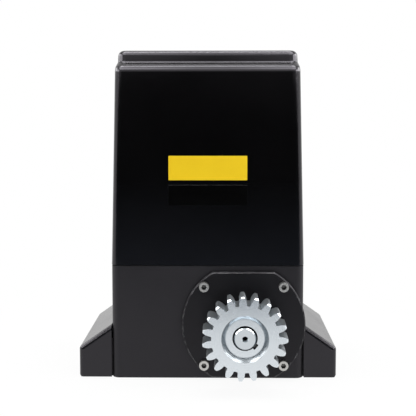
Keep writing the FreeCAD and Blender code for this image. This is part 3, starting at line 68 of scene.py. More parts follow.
forward = Vector((-math.sin(LOOK_LEFT) * math.cos(LOOK_DOWN),
                  math.cos(LOOK_LEFT) * math.cos(LOOK_DOWN),
                  -math.sin(LOOK_DOWN)))
level_right = Vector((math.cos(LOOK_LEFT), math.sin(LOOK_LEFT), 0))
level_up = level_right.cross(forward)
camera_right = level_right * math.cos(LEAN) + level_up * math.sin(LEAN)
camera_up = level_up * math.cos(LEAN) - level_right * math.sin(LEAN)
camera_turn = Matrix((camera_right, camera_up, -forward)).transposed().to_4x4()

lens = bpy.data.cameras.new("product_camera")
lens.lens = FOCAL_MM
lens.sensor_width = SENSOR_MM
lens.shift_y = -SHIFT_DOWN
lens.clip_start = NEAREST_SEEN
camera = bpy.data.objects.new("product_camera", lens)
camera.matrix_world = Matrix.Translation(CAMERA_PLACE) @ camera_turn
scene.collection.objects.link(camera)
scene.camera = camera
scene.view_settings.view_transform = "Standard"
print("camera at", [round(v, 3) for v in CAMERA_PLACE])

# %% [markdown]
# Small helpers keep the node trees readable. A shader tree is a parts list with wires, so one
# function adds a part with its settings and another joins two sockets. A calculation takes either
# a number or a wire for each of its inputs. The Mix node has several sockets with the same name, so
# its colour sockets are found by their places.

# %% Helpers for node trees
MIX_SHARE = 0
MIX_FIRST = 6
MIX_SECOND = 7
MIX_RESULT = 2


def part(tree, kind, values=None, **settings):
    made = tree.nodes.new(kind)
    for setting, value in settings.items():
        setattr(made, setting, value)
    for socket, value in (values or {}).items():
        feed(tree, value, made.inputs[socket])
    return made


def feed(tree, value, socket):
    if isinstance(value, bpy.types.NodeSocket):
        tree.links.new(value, socket)
    else:
        socket.default_value = value


def reckon(tree, operation, *values, clamp=False):
    inputs = dict(enumerate(values))
    made = part(tree, "ShaderNodeMath", inputs, operation=operation, use_clamp=clamp)
    return made.outputs[0]


def vectors(tree, operation, *values):
    return part(tree, "ShaderNodeVectorMath", dict(enumerate(values)), operation=operation).outputs


def between(tree, value, low, high, to_low=0.0, to_high=1.0):
    limits = {"From Min": low, "From Max": high, "To Min": to_low, "To Max": to_high}
    return part(tree, "ShaderNodeMapRange", {"Value": value, **limits}).outputs["Result"]


def mixed(tree, share, first, second):
    inputs = {MIX_SHARE: share, MIX_FIRST: first, MIX_SECOND: second}
    return part(tree, "ShaderNodeMix", inputs, data_type="RGBA").outputs[MIX_RESULT]


def own_place(tree):
    return part(tree, "ShaderNodeTexCoord").outputs["Object"]


def own_axes(tree):
    return part(tree, "ShaderNodeSeparateXYZ", {"Vector": own_place(tree)}).outputs


print("helpers ready")

# %% [markdown]
# The room is a white sweep. To the camera, and to anything shiny, the surroundings are plain white;
# the light that falls on matt surfaces is weaker, so that black stays black. Light Path tells the
# kinds of ray apart, which is how a studio's bright backdrop can be seen without flooding the object.

# %% White surroundings
AMBIENT = 0.85
PLAIN = 1.0
WHITE = (1, 1, 1, 1)


def seen_directly(tree):
    path = part(tree, "ShaderNodeLightPath").outputs
    seen = reckon(tree, "ADD", path["Is Camera Ray"], path["Is Glossy Ray"])
    return reckon(tree, "ADD", seen, path["Is Transmission Ray"], clamp=True)


def chosen(tree, share, first, second):
    inputs = {0: share, 1: first.outputs[0], 2: second.outputs[0]}
    return part(tree, "ShaderNodeMixShader", inputs).outputs[0]


world = bpy.data.worlds.new("white_room")
scene.world = world
world.use_nodes = True
tree = world.node_tree
tree.nodes.clear()
soft = part(tree, "ShaderNodeBackground", {"Color": WHITE, "Strength": AMBIENT})
bright = part(tree, "ShaderNodeBackground", {"Color": WHITE, "Strength": PLAIN})
part(tree, "ShaderNodeOutputWorld", {"Surface": chosen(tree, seen_directly(tree), soft, bright)})
print("ambient strength", AMBIENT)

# %% [markdown]
# Everything in the studio that isn't the object is a flat sheet: the floor, the cards and the flags.
# A material starts as an empty tree, so that nothing is in it but what this file puts there.

# %% Helpers for sheets and materials
def flat_sheet(name, corners):
    mesh = bpy.data.meshes.new(name)
    mesh.from_pydata(corners, [], [range(len(corners))])
    sheet = bpy.data.objects.new(name, mesh)
    scene.collection.objects.link(sheet)
    return sheet


def level_corners(left, right, front, back, z):
    return [(left, front, z), (right, front, z), (right, back, z), (left, back, z)]


def new_material(name):
    material = bpy.data.materials.new(name)
    material.use_nodes = True
    material.node_tree.nodes.clear()
    return material, material.node_tree


print("sheet helpers ready")

# %% [markdown]
# The floor is a sheet of white paper. It keeps the object's contact shadow, but most of what the
# camera sees of it is plain white, as in a catalogue picture. The pinion and the base mirror this
# floor, and that is what lights their front faces.

# %% Paper floor
FLOOR_HALF = 6.0
FLOOR_DROP = 0.0004
PAPER_NEAR = 0.14
PAPER_FAR = 0.36
PLAIN_SHARE_NEAR = 0.92
FIBRES_PER_METRE = 90.0
PAPER_DARK = (0.9, 0.9, 0.9, 1)
PAPER_LIGHT = (0.94, 0.94, 0.94, 1)

floor = flat_sheet("paper_floor", level_corners(-FLOOR_HALF, FLOOR_HALF,
                                                -FLOOR_HALF, FLOOR_HALF, -FLOOR_DROP))
paper, tree = new_material("white_paper")
fibre = part(tree, "ShaderNodeTexNoise", {"Scale": FIBRES_PER_METRE, "Detail": 4.0})
paper_tone = mixed(tree, fibre.outputs["Fac"], PAPER_DARK, PAPER_LIGHT)
shaded_paper = part(tree, "ShaderNodeBsdfPrincipled",
                    {"Base Color": paper_tone, "Roughness": 0.85, "Specular IOR Level": 0.2})
plain_paper = part(tree, "ShaderNodeEmission", {"Color": WHITE, "Strength": PLAIN})
distance = vectors(tree, "LENGTH", own_place(tree))["Value"]
plain_share = between(tree, distance, PAPER_NEAR, PAPER_FAR, PLAIN_SHARE_NEAR, 1.0)
share = reckon(tree, "MULTIPLY", seen_directly(tree), plain_share)
part(tree, "ShaderNodeOutputMaterial", {"Surface": chosen(tree, share, shaded_paper, plain_paper)})
floor.data.materials.append(paper)
print("floor", 2 * FLOOR_HALF, "m wide")

# %% [markdown]
# One soft box hangs over the object and throws its short shadow. It is about four times as wide as
# the machine, so the edge of that shadow is soft. An area lamp does this better than a point, which
# would draw a hard edge.

# %% Soft box
BOX_PLACE = Vector((0.0, 0.01, 1.5))
BOX_SIZE = (1.1, 0.42)
BOX_WATTS = 10.5

lamp = bpy.data.lights.new("soft_box", "AREA")
lamp.shape = "RECTANGLE"
lamp.size, lamp.size_y = BOX_SIZE
lamp.energy = BOX_WATTS
soft_box = bpy.data.objects.new("soft_box", lamp)
soft_box.location = BOX_PLACE
scene.collection.objects.link(soft_box)
print("soft box", BOX_WATTS, "W")

# %% [markdown]
# White cards are there only to be mirrored: the large one in front gives the cover's shoulder its
# pale stripe, the one overhead lights the ledge above it, and those at the sides put small highlights
# on the upright corners. The large card is dim over the pinion, so the chamfer of the shaft shows two
# highlights with a gap between them. Its bright front is toned down in the middle, which keeps the
# stripe from growing too strong.

# %% White cards
FRONT_CARD = {"left": -1.6, "right": 1.6, "front": -1.7, "back": -0.2, "z": 1.62}
TOP_CARD = {"left": -0.9, "right": 0.9, "front": -0.24, "back": 0.12, "z": 1.61}
SIDE_X = 1.3
SIDE_HALF = 0.9
SIDE_LOW = 0.5
SIDE_HIGH = 1.0
FRONT_LIGHT = 6.0
TOP_LIGHT = 7.0
LEFT_LIGHT = 6.2
RIGHT_LIGHT = 7.8
DIM = (0.09, 0.09, 0.09, 1)
ENDS_FADE = (0.3, 0.6)
FRONT_FADE = (-0.5, -0.75)
STRIPE_FADE = (0.05, 0.25)
STRIPE_SHARE = 0.42


def side_corners(x):
    return [(x, -SIDE_HALF, SIDE_LOW), (x, SIDE_HALF, SIDE_LOW),
            (x, SIDE_HALF, SIDE_HIGH), (x, -SIDE_HALF, SIDE_HIGH)]


def dim_middle(tree):
    axes = own_axes(tree)
    aside = reckon(tree, "ABSOLUTE", axes["X"])
    ends = between(tree, aside, *ENDS_FADE)
    stripe = between(tree, aside, *STRIPE_FADE, STRIPE_SHARE, 1.0)
    ahead = reckon(tree, "MULTIPLY", stripe, between(tree, axes["Y"], *FRONT_FADE))
    return mixed(tree, reckon(tree, "MAXIMUM", ends, ahead), DIM, WHITE)


def lit_card(name, corners, light, shading=None):
    card = flat_sheet(name, corners)
    material, tree = new_material(name)
    tone = shading(tree) if shading else WHITE
    glowing = part(tree, "ShaderNodeEmission", {"Color": tone, "Strength": light})
    part(tree, "ShaderNodeOutputMaterial", {"Surface": glowing.outputs[0]})
    card.data.materials.append(material)
    return card


cards = [lit_card("front_card", level_corners(**FRONT_CARD), FRONT_LIGHT, dim_middle),
         lit_card("top_card", level_corners(**TOP_CARD), TOP_LIGHT),
         lit_card("left_card", side_corners(-SIDE_X), LEFT_LIGHT),
         lit_card("right_card", side_corners(SIDE_X), RIGHT_LIGHT)]
print("cards:", [card.name for card in cards])

# %% [markdown]
# A black moulding shows only what it mirrors. So a black cloth, called a flag, stands in front of the
# object to keep the front of the cover dark, and the camera looks through it. Its top edge rises to a
# low peak, because the raised top of the cover mirrors just under that edge. Its foot is a paler,
# bluish grey, which the lower cover and the upper teeth of the pinion mirror.

# %% Black flag
FLAG_Y = -0.54
FLAG_HALF = 1.3
FLAG_SIDE_TOP = 0.375
FLAG_PEAK_TOP = 0.42
FLAG_PEAK_HALF = 0.22
FOOT_FADE = (0.03, 0.18)
FOOT_GREY = (0.16, 0.19, 0.23, 1)
CLOTH_BLACK = (0.003, 0.003, 0.003, 1)

flag_outline = ((-FLAG_HALF, 0), (FLAG_HALF, 0),
                (FLAG_HALF, FLAG_SIDE_TOP), (FLAG_PEAK_HALF, FLAG_SIDE_TOP),
                (0, FLAG_PEAK_TOP),
                (-FLAG_PEAK_HALF, FLAG_SIDE_TOP), (-FLAG_HALF, FLAG_SIDE_TOP))
flag = flat_sheet("black_flag", [(x, FLAG_Y, z) for x, z in flag_outline])
cloth, tree = new_material("flag_cloth")
cloth_tone = mixed(tree, between(tree, own_axes(tree)["Z"], *FOOT_FADE), FOOT_GREY, CLOTH_BLACK)
dull_cloth = part(tree, "ShaderNodeBsdfPrincipled",
                  {"Base Color": cloth_tone, "Roughness": 1.0, "Specular IOR Level": 0.0})
part(tree, "ShaderNodeOutputMaterial", {"Surface": dull_cloth.outputs[0]})
flag.data.materials.append(cloth)
print("flag at y", FLAG_Y)

# %% [markdown]
# The dish in the pinion's face slopes so that its foot mirrors the lights straight above. Three small
# flags hang there in a row with two slits between them, and the slits show in the dish as two bright
# spots with grey between them. Cards and flags are only there for mirror images, so the camera, the
# shadows and the light on matt surfaces pass them by.

# %% Small flags over the pinion
SLITS_MIDDLE = 0.0415
SLIT_INNER = 0.06
SLIT_OUTER = 0.105
SMALL_FLAGS_END = 0.42
SMALL_FLAGS_FRONT = -0.1595
SMALL_FLAGS_BACK = -0.114
SMALL_FLAGS_Z = 0.2
SMALL_FLAGS = {"slit_flag_left": (-SMALL_FLAGS_END, -SLIT_OUTER),
               "slit_flag_middle": (-SLIT_INNER, SLIT_INNER),
               "slit_flag_right": (SLIT_OUTER, SMALL_FLAGS_END)}

small_flags = []
for name, (start, end) in SMALL_FLAGS.items():
    small_flag = flat_sheet(name, level_corners(SLITS_MIDDLE + start, SLITS_MIDDLE + end,
                                                SMALL_FLAGS_FRONT, SMALL_FLAGS_BACK, SMALL_FLAGS_Z))
    small_flag.data.materials.append(cloth)
    small_flags.append(small_flag)
for sheet in (*cards, flag, *small_flags):
    sheet.visible_camera = False
    sheet.visible_diffuse = False
    sheet.visible_shadow = False
print("small flags:", [small_flag.name for small_flag in small_flags])

# %% [markdown]
# Every finish below shares a few effects, and each effect is a node group: built once, then placed
# in each material with its own values. A group only gives out masks and heights that change over the
# surface. The shader itself stays in the material.

# %% Helpers for node groups
def open_group(name, inputs, outputs):
    group = bpy.data.node_groups.new(name, "ShaderNodeTree")
    for label, value in inputs.items():
        kind = "NodeSocketVector" if isinstance(value, tuple) else "NodeSocketFloat"
        group.interface.new_socket(label, in_out="INPUT", socket_type=kind).default_value = value
    for label in outputs:
        group.interface.new_socket(label, in_out="OUTPUT", socket_type="NodeSocketFloat")
    entry = group.nodes.new("NodeGroupInput").outputs
    leave = group.nodes.new("NodeGroupOutput").inputs
    return group, entry, leave


def placed(tree, group, values):
    return part(tree, "ShaderNodeGroup", values, node_tree=group).outputs


print("group helpers ready")

# %% [markdown]
# Grain: powder coat, moulded plastic and cast alloy all have a fine, even roughness, with broad and
# faint patches under it. Two noises give that, one at the grain's own scale and one far larger. The
# pattern is tied to the object's own coordinates, so it stays on the piece when the piece moves.

# %% Grain group
NOISE_RANGE = (0.3, 0.7)
PATCH_HEIGHT = 0.2

group, entry, leave = open_group("Surface grain",
                                 {"Grains per metre": 900.0, "Patches per metre": 14.0},
                                 ("Grain", "Patch", "Height"))
place = own_place(group)
fine = part(group, "ShaderNodeTexNoise", {"Vector": place, "Scale": entry["Grains per metre"],
                                          "Detail": 3.0, "Roughness": 0.6})
broad = part(group, "ShaderNodeTexNoise", {"Vector": place, "Scale": entry["Patches per metre"],
                                           "Detail": 5.0, "Roughness": 0.55})
grain_value = between(group, fine.outputs["Fac"], *NOISE_RANGE)
patch_value = between(group, broad.outputs["Fac"], *NOISE_RANGE)
feed(group, grain_value, leave["Grain"])
feed(group, patch_value, leave["Patch"])
feed(group, reckon(group, "MULTIPLY_ADD", patch_value, PATCH_HEIGHT, grain_value), leave["Height"])
grain_group = group
print("group:", grain_group.name)

# %% [markdown]
# Edge wear: paint is thinnest and first to rub through along outside corners. A Bevel node rounds the
# normal near an edge, so where the rounded normal leaves the true one there is an edge. Noise breaks
# the line up, because handling never wears a whole edge evenly.

# %% Edge wear group
CORNER_RANGE = (0.995, 0.86)
BREAK_RANGE = (0.42, 0.62)

group, entry, leave = open_group("Edge wear",
                                 {"Width": 0.0008, "Breaks per metre": 260.0, "Amount": 0.5},
                                 ("Mask",))
rounded = part(group, "ShaderNodeBevel", {"Radius": entry["Width"]}, samples=6).outputs["Normal"]
true_normal = part(group, "ShaderNodeNewGeometry").outputs["Normal"]
meeting = vectors(group, "DOT_PRODUCT", rounded, true_normal)["Value"]
corner = between(group, meeting, *CORNER_RANGE)
breaks = part(group, "ShaderNodeTexNoise",
              {"Vector": own_place(group), "Scale": entry["Breaks per metre"], "Detail": 4.0})
broken = between(group, breaks.outputs["Fac"], *BREAK_RANGE)
broken_corner = reckon(group, "MULTIPLY", corner, broken)
feed(group, reckon(group, "MULTIPLY", broken_corner, entry["Amount"], clamp=True), leave["Mask"])
wear_group = group
print("group:", wear_group.name)

# %% [markdown]
# Turning marks: a lathe tool leaves fine rings round the axis it worked on. The distance from that
# axis, stretched many times, drives a noise with one dimension, so each radius has its own shade.
# Two directions across the axis say which way the piece lay in the lathe. Only faces that look along
# the axis carry rings. Three radii mark off a core, such as a shaft's end, and a ring-shaped wall,
# such as the slope of a dish, so that a finish can treat them differently.

# %% Turning marks group
RING_RANGE = (0.25, 0.75)
RING_SWING = 0.5
RING_MEAN = 0.5
FACED_RANGE = (0.3, 0.6)
SOFT_EDGE = 0.0004

group, entry, leave = open_group("Turning marks",
                                 {"Centre": (0.0, 0.0, 0.0), "Across": (1.0, 0.0, 0.0),
                                  "Upward": (0.0, 0.0, 1.0), "Rings per metre": 1500.0,
                                  "Core radius": 0.0, "Wall inner": 0.0, "Wall outer": 0.0},
                                 ("Line", "Height", "Core", "Wall", "Faced"))
offset = vectors(group, "SUBTRACT", own_place(group), entry["Centre"])["Vector"]
squares = []
for direction in ("Across", "Upward"):
    along = vectors(group, "DOT_PRODUCT", offset, entry[direction])["Value"]
    squares.append(reckon(group, "MULTIPLY", along, along))
radius = reckon(group, "SQRT", reckon(group, "ADD", *squares))
stretched = reckon(group, "MULTIPLY", radius, entry["Rings per metre"])
ring = part(group, "ShaderNodeTexNoise",
            {"W": stretched, "Scale": 1.0, "Detail": 3.0, "Roughness": 0.7}, noise_dimensions="1D")
axis = vectors(group, "CROSS_PRODUCT", entry["Across"], entry["Upward"])["Vector"]
own_normal = part(group, "ShaderNodeTexCoord").outputs["Normal"]
turned_to = reckon(group, "ABSOLUTE", vectors(group, "DOT_PRODUCT", own_normal, axis)["Value"])
faced = between(group, turned_to, *FACED_RANGE)
swing = between(group, ring.outputs["Fac"], *RING_RANGE, -RING_SWING, RING_SWING)
ring_value = reckon(group, "MULTIPLY_ADD", swing, faced, RING_MEAN)
past = {}
for limit in ("Core radius", "Wall inner", "Wall outer"):
    past[limit] = between(group, reckon(group, "SUBTRACT", radius, entry[limit]), 0.0, SOFT_EDGE)
feed(group, ring_value, leave["Line"])
feed(group, ring_value, leave["Height"])
feed(group, reckon(group, "SUBTRACT", 1.0, past["Core radius"]), leave["Core"])
feed(group, reckon(group, "SUBTRACT", past["Wall inner"], past["Wall outer"]), leave["Wall"])
feed(group, faced, leave["Faced"])
turned_group = group
print("group:", turned_group.name)

# %% [markdown]
# Ridges: stacked motor sheets and wound wire are both even lines along one direction. A position
# along that direction, times the number of lines, runs through a triangle wave. It gives a height for
# bump and a shade for the shadow between two lines.

# %% Ridge lines group
HALF_LINE = 0.5

group, entry, leave = open_group("Ridge lines",
                                 {"Direction": (0.0, 0.0, 1.0), "Lines per metre": 1000.0},
                                 ("Line", "Height"))
along = vectors(group, "DOT_PRODUCT", own_place(group), entry["Direction"])["Value"]
phase = reckon(group, "MULTIPLY", along, entry["Lines per metre"])
ridge_value = reckon(group, "MULTIPLY", reckon(group, "PINGPONG", phase, HALF_LINE), 1 / HALF_LINE)
rounded_top = reckon(group, "SINE", reckon(group, "MULTIPLY", ridge_value, math.pi / 2))
feed(group, ridge_value, leave["Line"])
feed(group, rounded_top, leave["Height"])
ridge_group = group
print("group:", ridge_group.name)

# %% [markdown]
# Hollow shade: light hardly reaches the bottom of a screw's socket or a narrow gap, so the colour there
# is darkened as painted shade. Ambient occlusion measures how much of the view from a point is blocked
# close by. Its opposite is a mask for the hollows, which darkens the colour as painted shade.

# %% Hollow shade group
BLOCKED_RANGE = (0.62, 0.2)

group, entry, leave = open_group("Hollow shade", {"Reach": 0.004, "Amount": 1.0}, ("Mask",))
open_view = part(group, "ShaderNodeAmbientOcclusion", {"Distance": entry["Reach"]}, samples=8)
blocked = between(group, open_view.outputs["AO"], *BLOCKED_RANGE)
feed(group, reckon(group, "MULTIPLY", blocked, entry["Amount"], clamp=True), leave["Mask"])
hollow_shade_group = group
print("group:", hollow_shade_group.name)

# %% [markdown]
# A turned piece isn't one finish all over. Its core, such as a shaft's end, can be bare and polished,
# the sloping wall of a dish can be darkened as painted shade, and flanks that no lathe has faced can be
# rougher. Each zone is a mask from the turning marks, and changes colour and roughness only there.

# %% Zones of a turned piece
CORE_POLISH = 0.3
WALL_ROUGHNESS = 0.26


def turned_zones(tree, lines, colour, roughness, bare, wall_shade, flank):
    if flank:
        added = between(tree, lines["Faced"], 0.0, 1.0, flank, 0.0)
        roughness = reckon(tree, "ADD", roughness, added)
    if bare:
        colour = mixed(tree, lines["Core"], colour, (*bare, 1))
        polish = between(tree, lines["Core"], 0.0, 1.0, 1.0, CORE_POLISH)
        roughness = reckon(tree, "MULTIPLY", roughness, polish)
    # The darker colour on the dish wall is painted shade.
    if wall_shade:
        colour = mixed(tree, lines["Wall"], colour, (*wall_shade, 1))
        least = reckon(tree, "MULTIPLY", lines["Wall"], WALL_ROUGHNESS)
        roughness = reckon(tree, "MAXIMUM", roughness, least)
    return colour, roughness


print("zone helper ready")

# %% [markdown]
# Two marks go over a colour: use rubs the edges down to what lies under the surface, and hollows are
# darkened as painted shade. Both are masks from their groups. They are mixed over the colour in that
# order, so the painted shade lies over the wear.

# %% Wear and painted shade in hollows
# The colour that the hollows are darkened to is painted shade.
PAINTED_HOLLOW_SHADE = (0.012, 0.011, 0.01, 1)


def wear_and_painted_shade(tree, colour, worn, wear, wear_width, hollow_shade):
    if worn:
        rubbed = placed(tree, wear_group, {"Width": wear_width, "Amount": wear})
        colour = mixed(tree, rubbed["Mask"], colour, (*worn, 1))
    # Hollows are darkened here as painted shade.
    if hollow_shade:
        shaded_hollow = placed(tree, hollow_shade_group, {"Reach": hollow_shade})
        colour = mixed(tree, shaded_hollow["Mask"], colour, PAINTED_HOLLOW_SHADE)
    return colour


print("wear helper ready")

# %% [markdown]
# A finish is one recipe: a colour that drifts between two shades, a roughness that drifts with it, a
# height for the bump, and then zones, wear and painted shade in hollows where the piece has them. The
# recipe takes its pattern from grain, turning marks or ridges. Every finish in the rest of this file is
# that recipe with other values.

# %% The recipe for a finish
FINISHES = {}
GRAIN_SHARE = 0.5
LINE_HEIGHT = 2.0


def marks(tree, rings, ridges):
    if rings:
        return placed(tree, turned_group, rings)
    if ridges:
        return placed(tree, ridge_group, ridges)
    return None


def finish(slot, dark, light, rough, metal=0.0, gloss=0.5, sheen=(1.0, 1.0, 1.0), coat=0.0,
           grains=900.0, patches=14.0, bump=0.1, depth=0.00008,
           worn=None, wear=0.4, wear_width=0.0008, hollow_shade=None,
           rings=None, ridges=None, pattern=0.5, bare=None, wall_shade=None, flank=None):
    material, tree = new_material(slot)
    shader = part(tree, "ShaderNodeBsdfPrincipled", {"Metallic": metal, "Specular IOR Level": gloss,
                                                     "Specular Tint": (*sheen, 1), "Coat Weight": coat})
    grain = placed(tree, grain_group, {"Grains per metre": grains, "Patches per metre": patches})
    patch_part = reckon(tree, "MULTIPLY", grain["Patch"], 1 - GRAIN_SHARE)
    shade = reckon(tree, "MULTIPLY_ADD", grain["Grain"], GRAIN_SHARE, patch_part)
    height = grain["Height"]
    lines = marks(tree, rings, ridges)
    if lines:
        grain_part = reckon(tree, "MULTIPLY", shade, 1 - pattern)
        shade = reckon(tree, "MULTIPLY_ADD", lines["Line"], pattern, grain_part)
        height = reckon(tree, "MULTIPLY_ADD", lines["Height"], LINE_HEIGHT, height)
    colour = mixed(tree, shade, (*dark, 1), (*light, 1))
    roughness = between(tree, shade, 0.0, 1.0, *rough)
    colour, roughness = turned_zones(tree, lines, colour, roughness, bare, wall_shade, flank)
    # Wear along the edges, and painted shade in the hollows.
    colour = wear_and_painted_shade(tree, colour, worn, wear, wear_width, hollow_shade)
    relief = part(tree, "ShaderNodeBump", {"Strength": bump, "Distance": depth, "Height": height})
    feed(tree, colour, shader.inputs["Base Color"])
    feed(tree, roughness, shader.inputs["Roughness"])
    feed(tree, relief.outputs["Normal"], shader.inputs["Normal"])
    part(tree, "ShaderNodeOutputMaterial", {"Surface": shader.outputs[0]})
    FINISHES[slot] = material
    print("finish:", slot)
    return material


print("recipe ready")

# %% [markdown]
# The cover is a black moulding, drawn from a polished tool with a very fine texture. It is the
# darkest part of the machine: its front mirrors the flag, and its rounded edges mirror the white
# room. The colour is nearly black and the roughness is low enough for clear edge lines. The foot
# covers are of the same plastic with a coarser texture.

# %% Black mouldings
BLUISH = (0.95, 0.91, 1.0)

finish("cover_plastic", dark=(0.0013, 0.0013, 0.0014), light=(0.0026, 0.0026, 0.0029),
       rough=(0.12, 0.2), sheen=BLUISH, grains=2600.0, patches=11.0, bump=0.05, depth=0.00003,
       worn=(0.02, 0.02, 0.021), wear=0.5, wear_width=0.0006)
finish("foot_plastic", dark=(0.003, 0.003, 0.0035), light=(0.007, 0.007, 0.0078),
       rough=(0.16, 0.26), gloss=0.45, sheen=BLUISH, grains=2000.0, patches=18.0, bump=0.08,
       depth=0.00004, worn=(0.03, 0.03, 0.031), wear=0.5)

# %% [markdown]
# The base is an aluminium casting under black powder coat. Powder melts into a skin with a faint
# orange-peel texture, so its grain is coarser than the moulding's and its mirror image is softer.
# The flange has the same coat, but its edge was turned afterwards and shows a thin grey line. The
# release lever is coated too, and hands have rubbed its edges.

# %% Powder coat
finish("casting_paint", dark=(0.005, 0.005, 0.0057), light=(0.011, 0.0107, 0.0118),
       rough=(0.4, 0.52), gloss=0.4, sheen=BLUISH, grains=1300.0, patches=16.0, bump=0.16,
       depth=0.00006, worn=(0.09, 0.09, 0.092), wear=0.35, wear_width=0.0005)
finish("flange_paint", dark=(0.004, 0.004, 0.0045), light=(0.008, 0.008, 0.0086),
       rough=(0.3, 0.4), gloss=0.26, sheen=BLUISH, grains=1500.0, patches=22.0, bump=0.1,
       depth=0.00005, worn=(0.36, 0.36, 0.37), wear=1.6, wear_width=0.0007)
finish("lever_paint", dark=(0.006, 0.006, 0.0065), light=(0.014, 0.014, 0.015),
       rough=(0.3, 0.42), grains=1400.0, patches=30.0, bump=0.12, depth=0.00005,
       worn=(0.3, 0.3, 0.3), wear=0.8)

# %% [markdown]
# The pinion is cut from steel and zinc plated, which gives a bright, faintly blue metal. Its front was
# faced on a lathe, so fine rings run round the shaft. The shaft's end is bare and polished, the sloping
# wall of the dish is darkened as painted shade, the gaps between the teeth get painted shade, and the
# cut flanks of the teeth are rougher. A metal's colour is the tint of what it mirrors, so Metallic is 1
# and the rings change the roughness as well.

# %% Plated steel on the output axis
shaft_low, shaft_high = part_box("output_shaft")
OUTPUT_AXIS = ((shaft_low.x + shaft_high.x) / 2, 0.0, (shaft_low.z + shaft_high.z) / 2)
OUTPUT_RINGS = {"Centre": OUTPUT_AXIS, "Across": (1.0, 0.0, 0.0), "Upward": (0.0, 0.0, 1.0),
                "Rings per metre": 2200.0,
                "Core radius": 0.0111, "Wall inner": 0.0186, "Wall outer": 0.0231}

# The dish wall colour and the darkening in the hollows below are painted shade.
finish("zinc_steel", dark=(0.62, 0.67, 0.71), light=(0.82, 0.86, 0.89), rough=(0.21, 0.31),
       metal=1.0, grains=700.0, patches=35.0, bump=0.1, depth=0.00003,
       worn=(0.9, 0.92, 0.93), wear=0.6, wear_width=0.0005, hollow_shade=0.005,
       rings=OUTPUT_RINGS, pattern=0.6,
       bare=(0.57, 0.61, 0.64), wall_shade=(0.55, 0.59, 0.62), flank=0.05)
finish("bronze", dark=(0.42, 0.24, 0.07), light=(0.6, 0.37, 0.13), rough=(0.26, 0.42),
       metal=1.0, grains=800.0, patches=30.0, bump=0.12, depth=0.00003,
       worn=(0.8, 0.55, 0.25), wear=0.6, rings=OUTPUT_RINGS, pattern=0.5)
# The key's hollows are darkened as painted shade.
finish("dark_steel", dark=(0.16, 0.16, 0.165), light=(0.3, 0.3, 0.305), rough=(0.28, 0.45),
       metal=1.0, grains=900.0, patches=40.0, bump=0.1, depth=0.00003,
       worn=(0.55, 0.55, 0.55), wear=0.7, hollow_shade=0.008, rings=OUTPUT_RINGS, pattern=0.4)
print("output axis at x", round(OUTPUT_AXIS[0], 4), "z", round(OUTPUT_AXIS[2], 4))

# %% [markdown]
# Screws, bearings, plated sheet and the lock are bright metal in four states. Screws are headed cold
# and stay a little rough, bearing rings are ground to a mirror, plated sheet shows the spangle of its
# zinc, and the lock is chromed. The scale of the pattern and the roughness tell them apart.

# %% Screws, bearings, sheet and lock
# The screw sockets are darkened as painted shade.
finish("screw_steel", dark=(0.42, 0.41, 0.39), light=(0.66, 0.65, 0.63), rough=(0.22, 0.38),
       metal=1.0, grains=1800.0, patches=120.0, bump=0.15, depth=0.00003,
       worn=(0.85, 0.84, 0.82), wear=0.6, wear_width=0.0004, hollow_shade=0.006)
finish("bearing_steel", dark=(0.6, 0.61, 0.62), light=(0.78, 0.79, 0.8), rough=(0.1, 0.2),
       metal=1.0, grains=2000.0, patches=60.0, bump=0.05, depth=0.00002,
       rings=OUTPUT_RINGS, pattern=0.5)
finish("sheet_zinc", dark=(0.42, 0.43, 0.44), light=(0.66, 0.68, 0.7), rough=(0.26, 0.44),
       metal=1.0, grains=160.0, patches=70.0, bump=0.06, depth=0.00004,
       worn=(0.8, 0.81, 0.82), wear=0.5)
finish("lock_chrome", dark=(0.7, 0.7, 0.71), light=(0.86, 0.86, 0.87), rough=(0.08, 0.16),
       metal=1.0, grains=1600.0, patches=90.0, bump=0.04, depth=0.00002,
       worn=(0.5, 0.45, 0.38), wear=0.3)

# %% [markdown]
# The motor stands on its own upright axis. Its worm is ground steel, its two end pieces are cast
# alloy, and its stator and rotor are stacks of thin sheets whose edges show as fine lines. The
# windings are copper under brown varnish.

# %% The motor's metals
worm_low, worm_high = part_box("worm_shaft")
MOTOR_AXIS = ((worm_low.x + worm_high.x) / 2, (worm_low.y + worm_high.y) / 2, 0.0)
MOTOR_RINGS = {"Centre": MOTOR_AXIS, "Across": (1.0, 0.0, 0.0), "Upward": (0.0, 1.0, 0.0),
               "Rings per metre": 2600.0}
STACKED_SHEETS = {"Direction": (0.0, 0.0, 1.0), "Lines per metre": 1000.0}
WOUND_WIRE = {"Direction": (0.0, 0.0, 1.0), "Lines per metre": 900.0}

finish("worm_steel", dark=(0.4, 0.4, 0.41), light=(0.62, 0.62, 0.63), rough=(0.14, 0.28),
       metal=1.0, grains=1200.0, patches=50.0, bump=0.08, depth=0.00002,
       worn=(0.8, 0.8, 0.8), wear=0.6, rings=MOTOR_RINGS, pattern=0.5)
finish("cast_alloy", dark=(0.42, 0.43, 0.44), light=(0.62, 0.63, 0.65), rough=(0.36, 0.55),
       metal=1.0, grains=700.0, patches=25.0, bump=0.2, depth=0.00008,
       worn=(0.8, 0.8, 0.82), wear=0.5)
finish("lamination", dark=(0.1, 0.1, 0.11), light=(0.3, 0.3, 0.32), rough=(0.4, 0.6),
       metal=1.0, grains=900.0, patches=30.0, bump=0.5, depth=0.0001,
       ridges=STACKED_SHEETS, pattern=0.7)
finish("copper_wire", dark=(0.24, 0.07, 0.02), light=(0.55, 0.2, 0.07), rough=(0.2, 0.36),
       metal=1.0, coat=0.5, grains=900.0, patches=40.0, bump=0.6, depth=0.0002,
       ridges=WOUND_WIRE, pattern=0.6)
print("motor axis at x", round(MOTOR_AXIS[0], 4), "y", round(MOTOR_AXIS[1], 4))

# %% [markdown]
# Seals and the grommet are black rubber, which is matt and a little grey. The electric parts keep the
# colours that fitters know: a green board and terminals, blue relays, black chips and a white can.
# They sit under the cover, but whoever opens the part should find them finished.

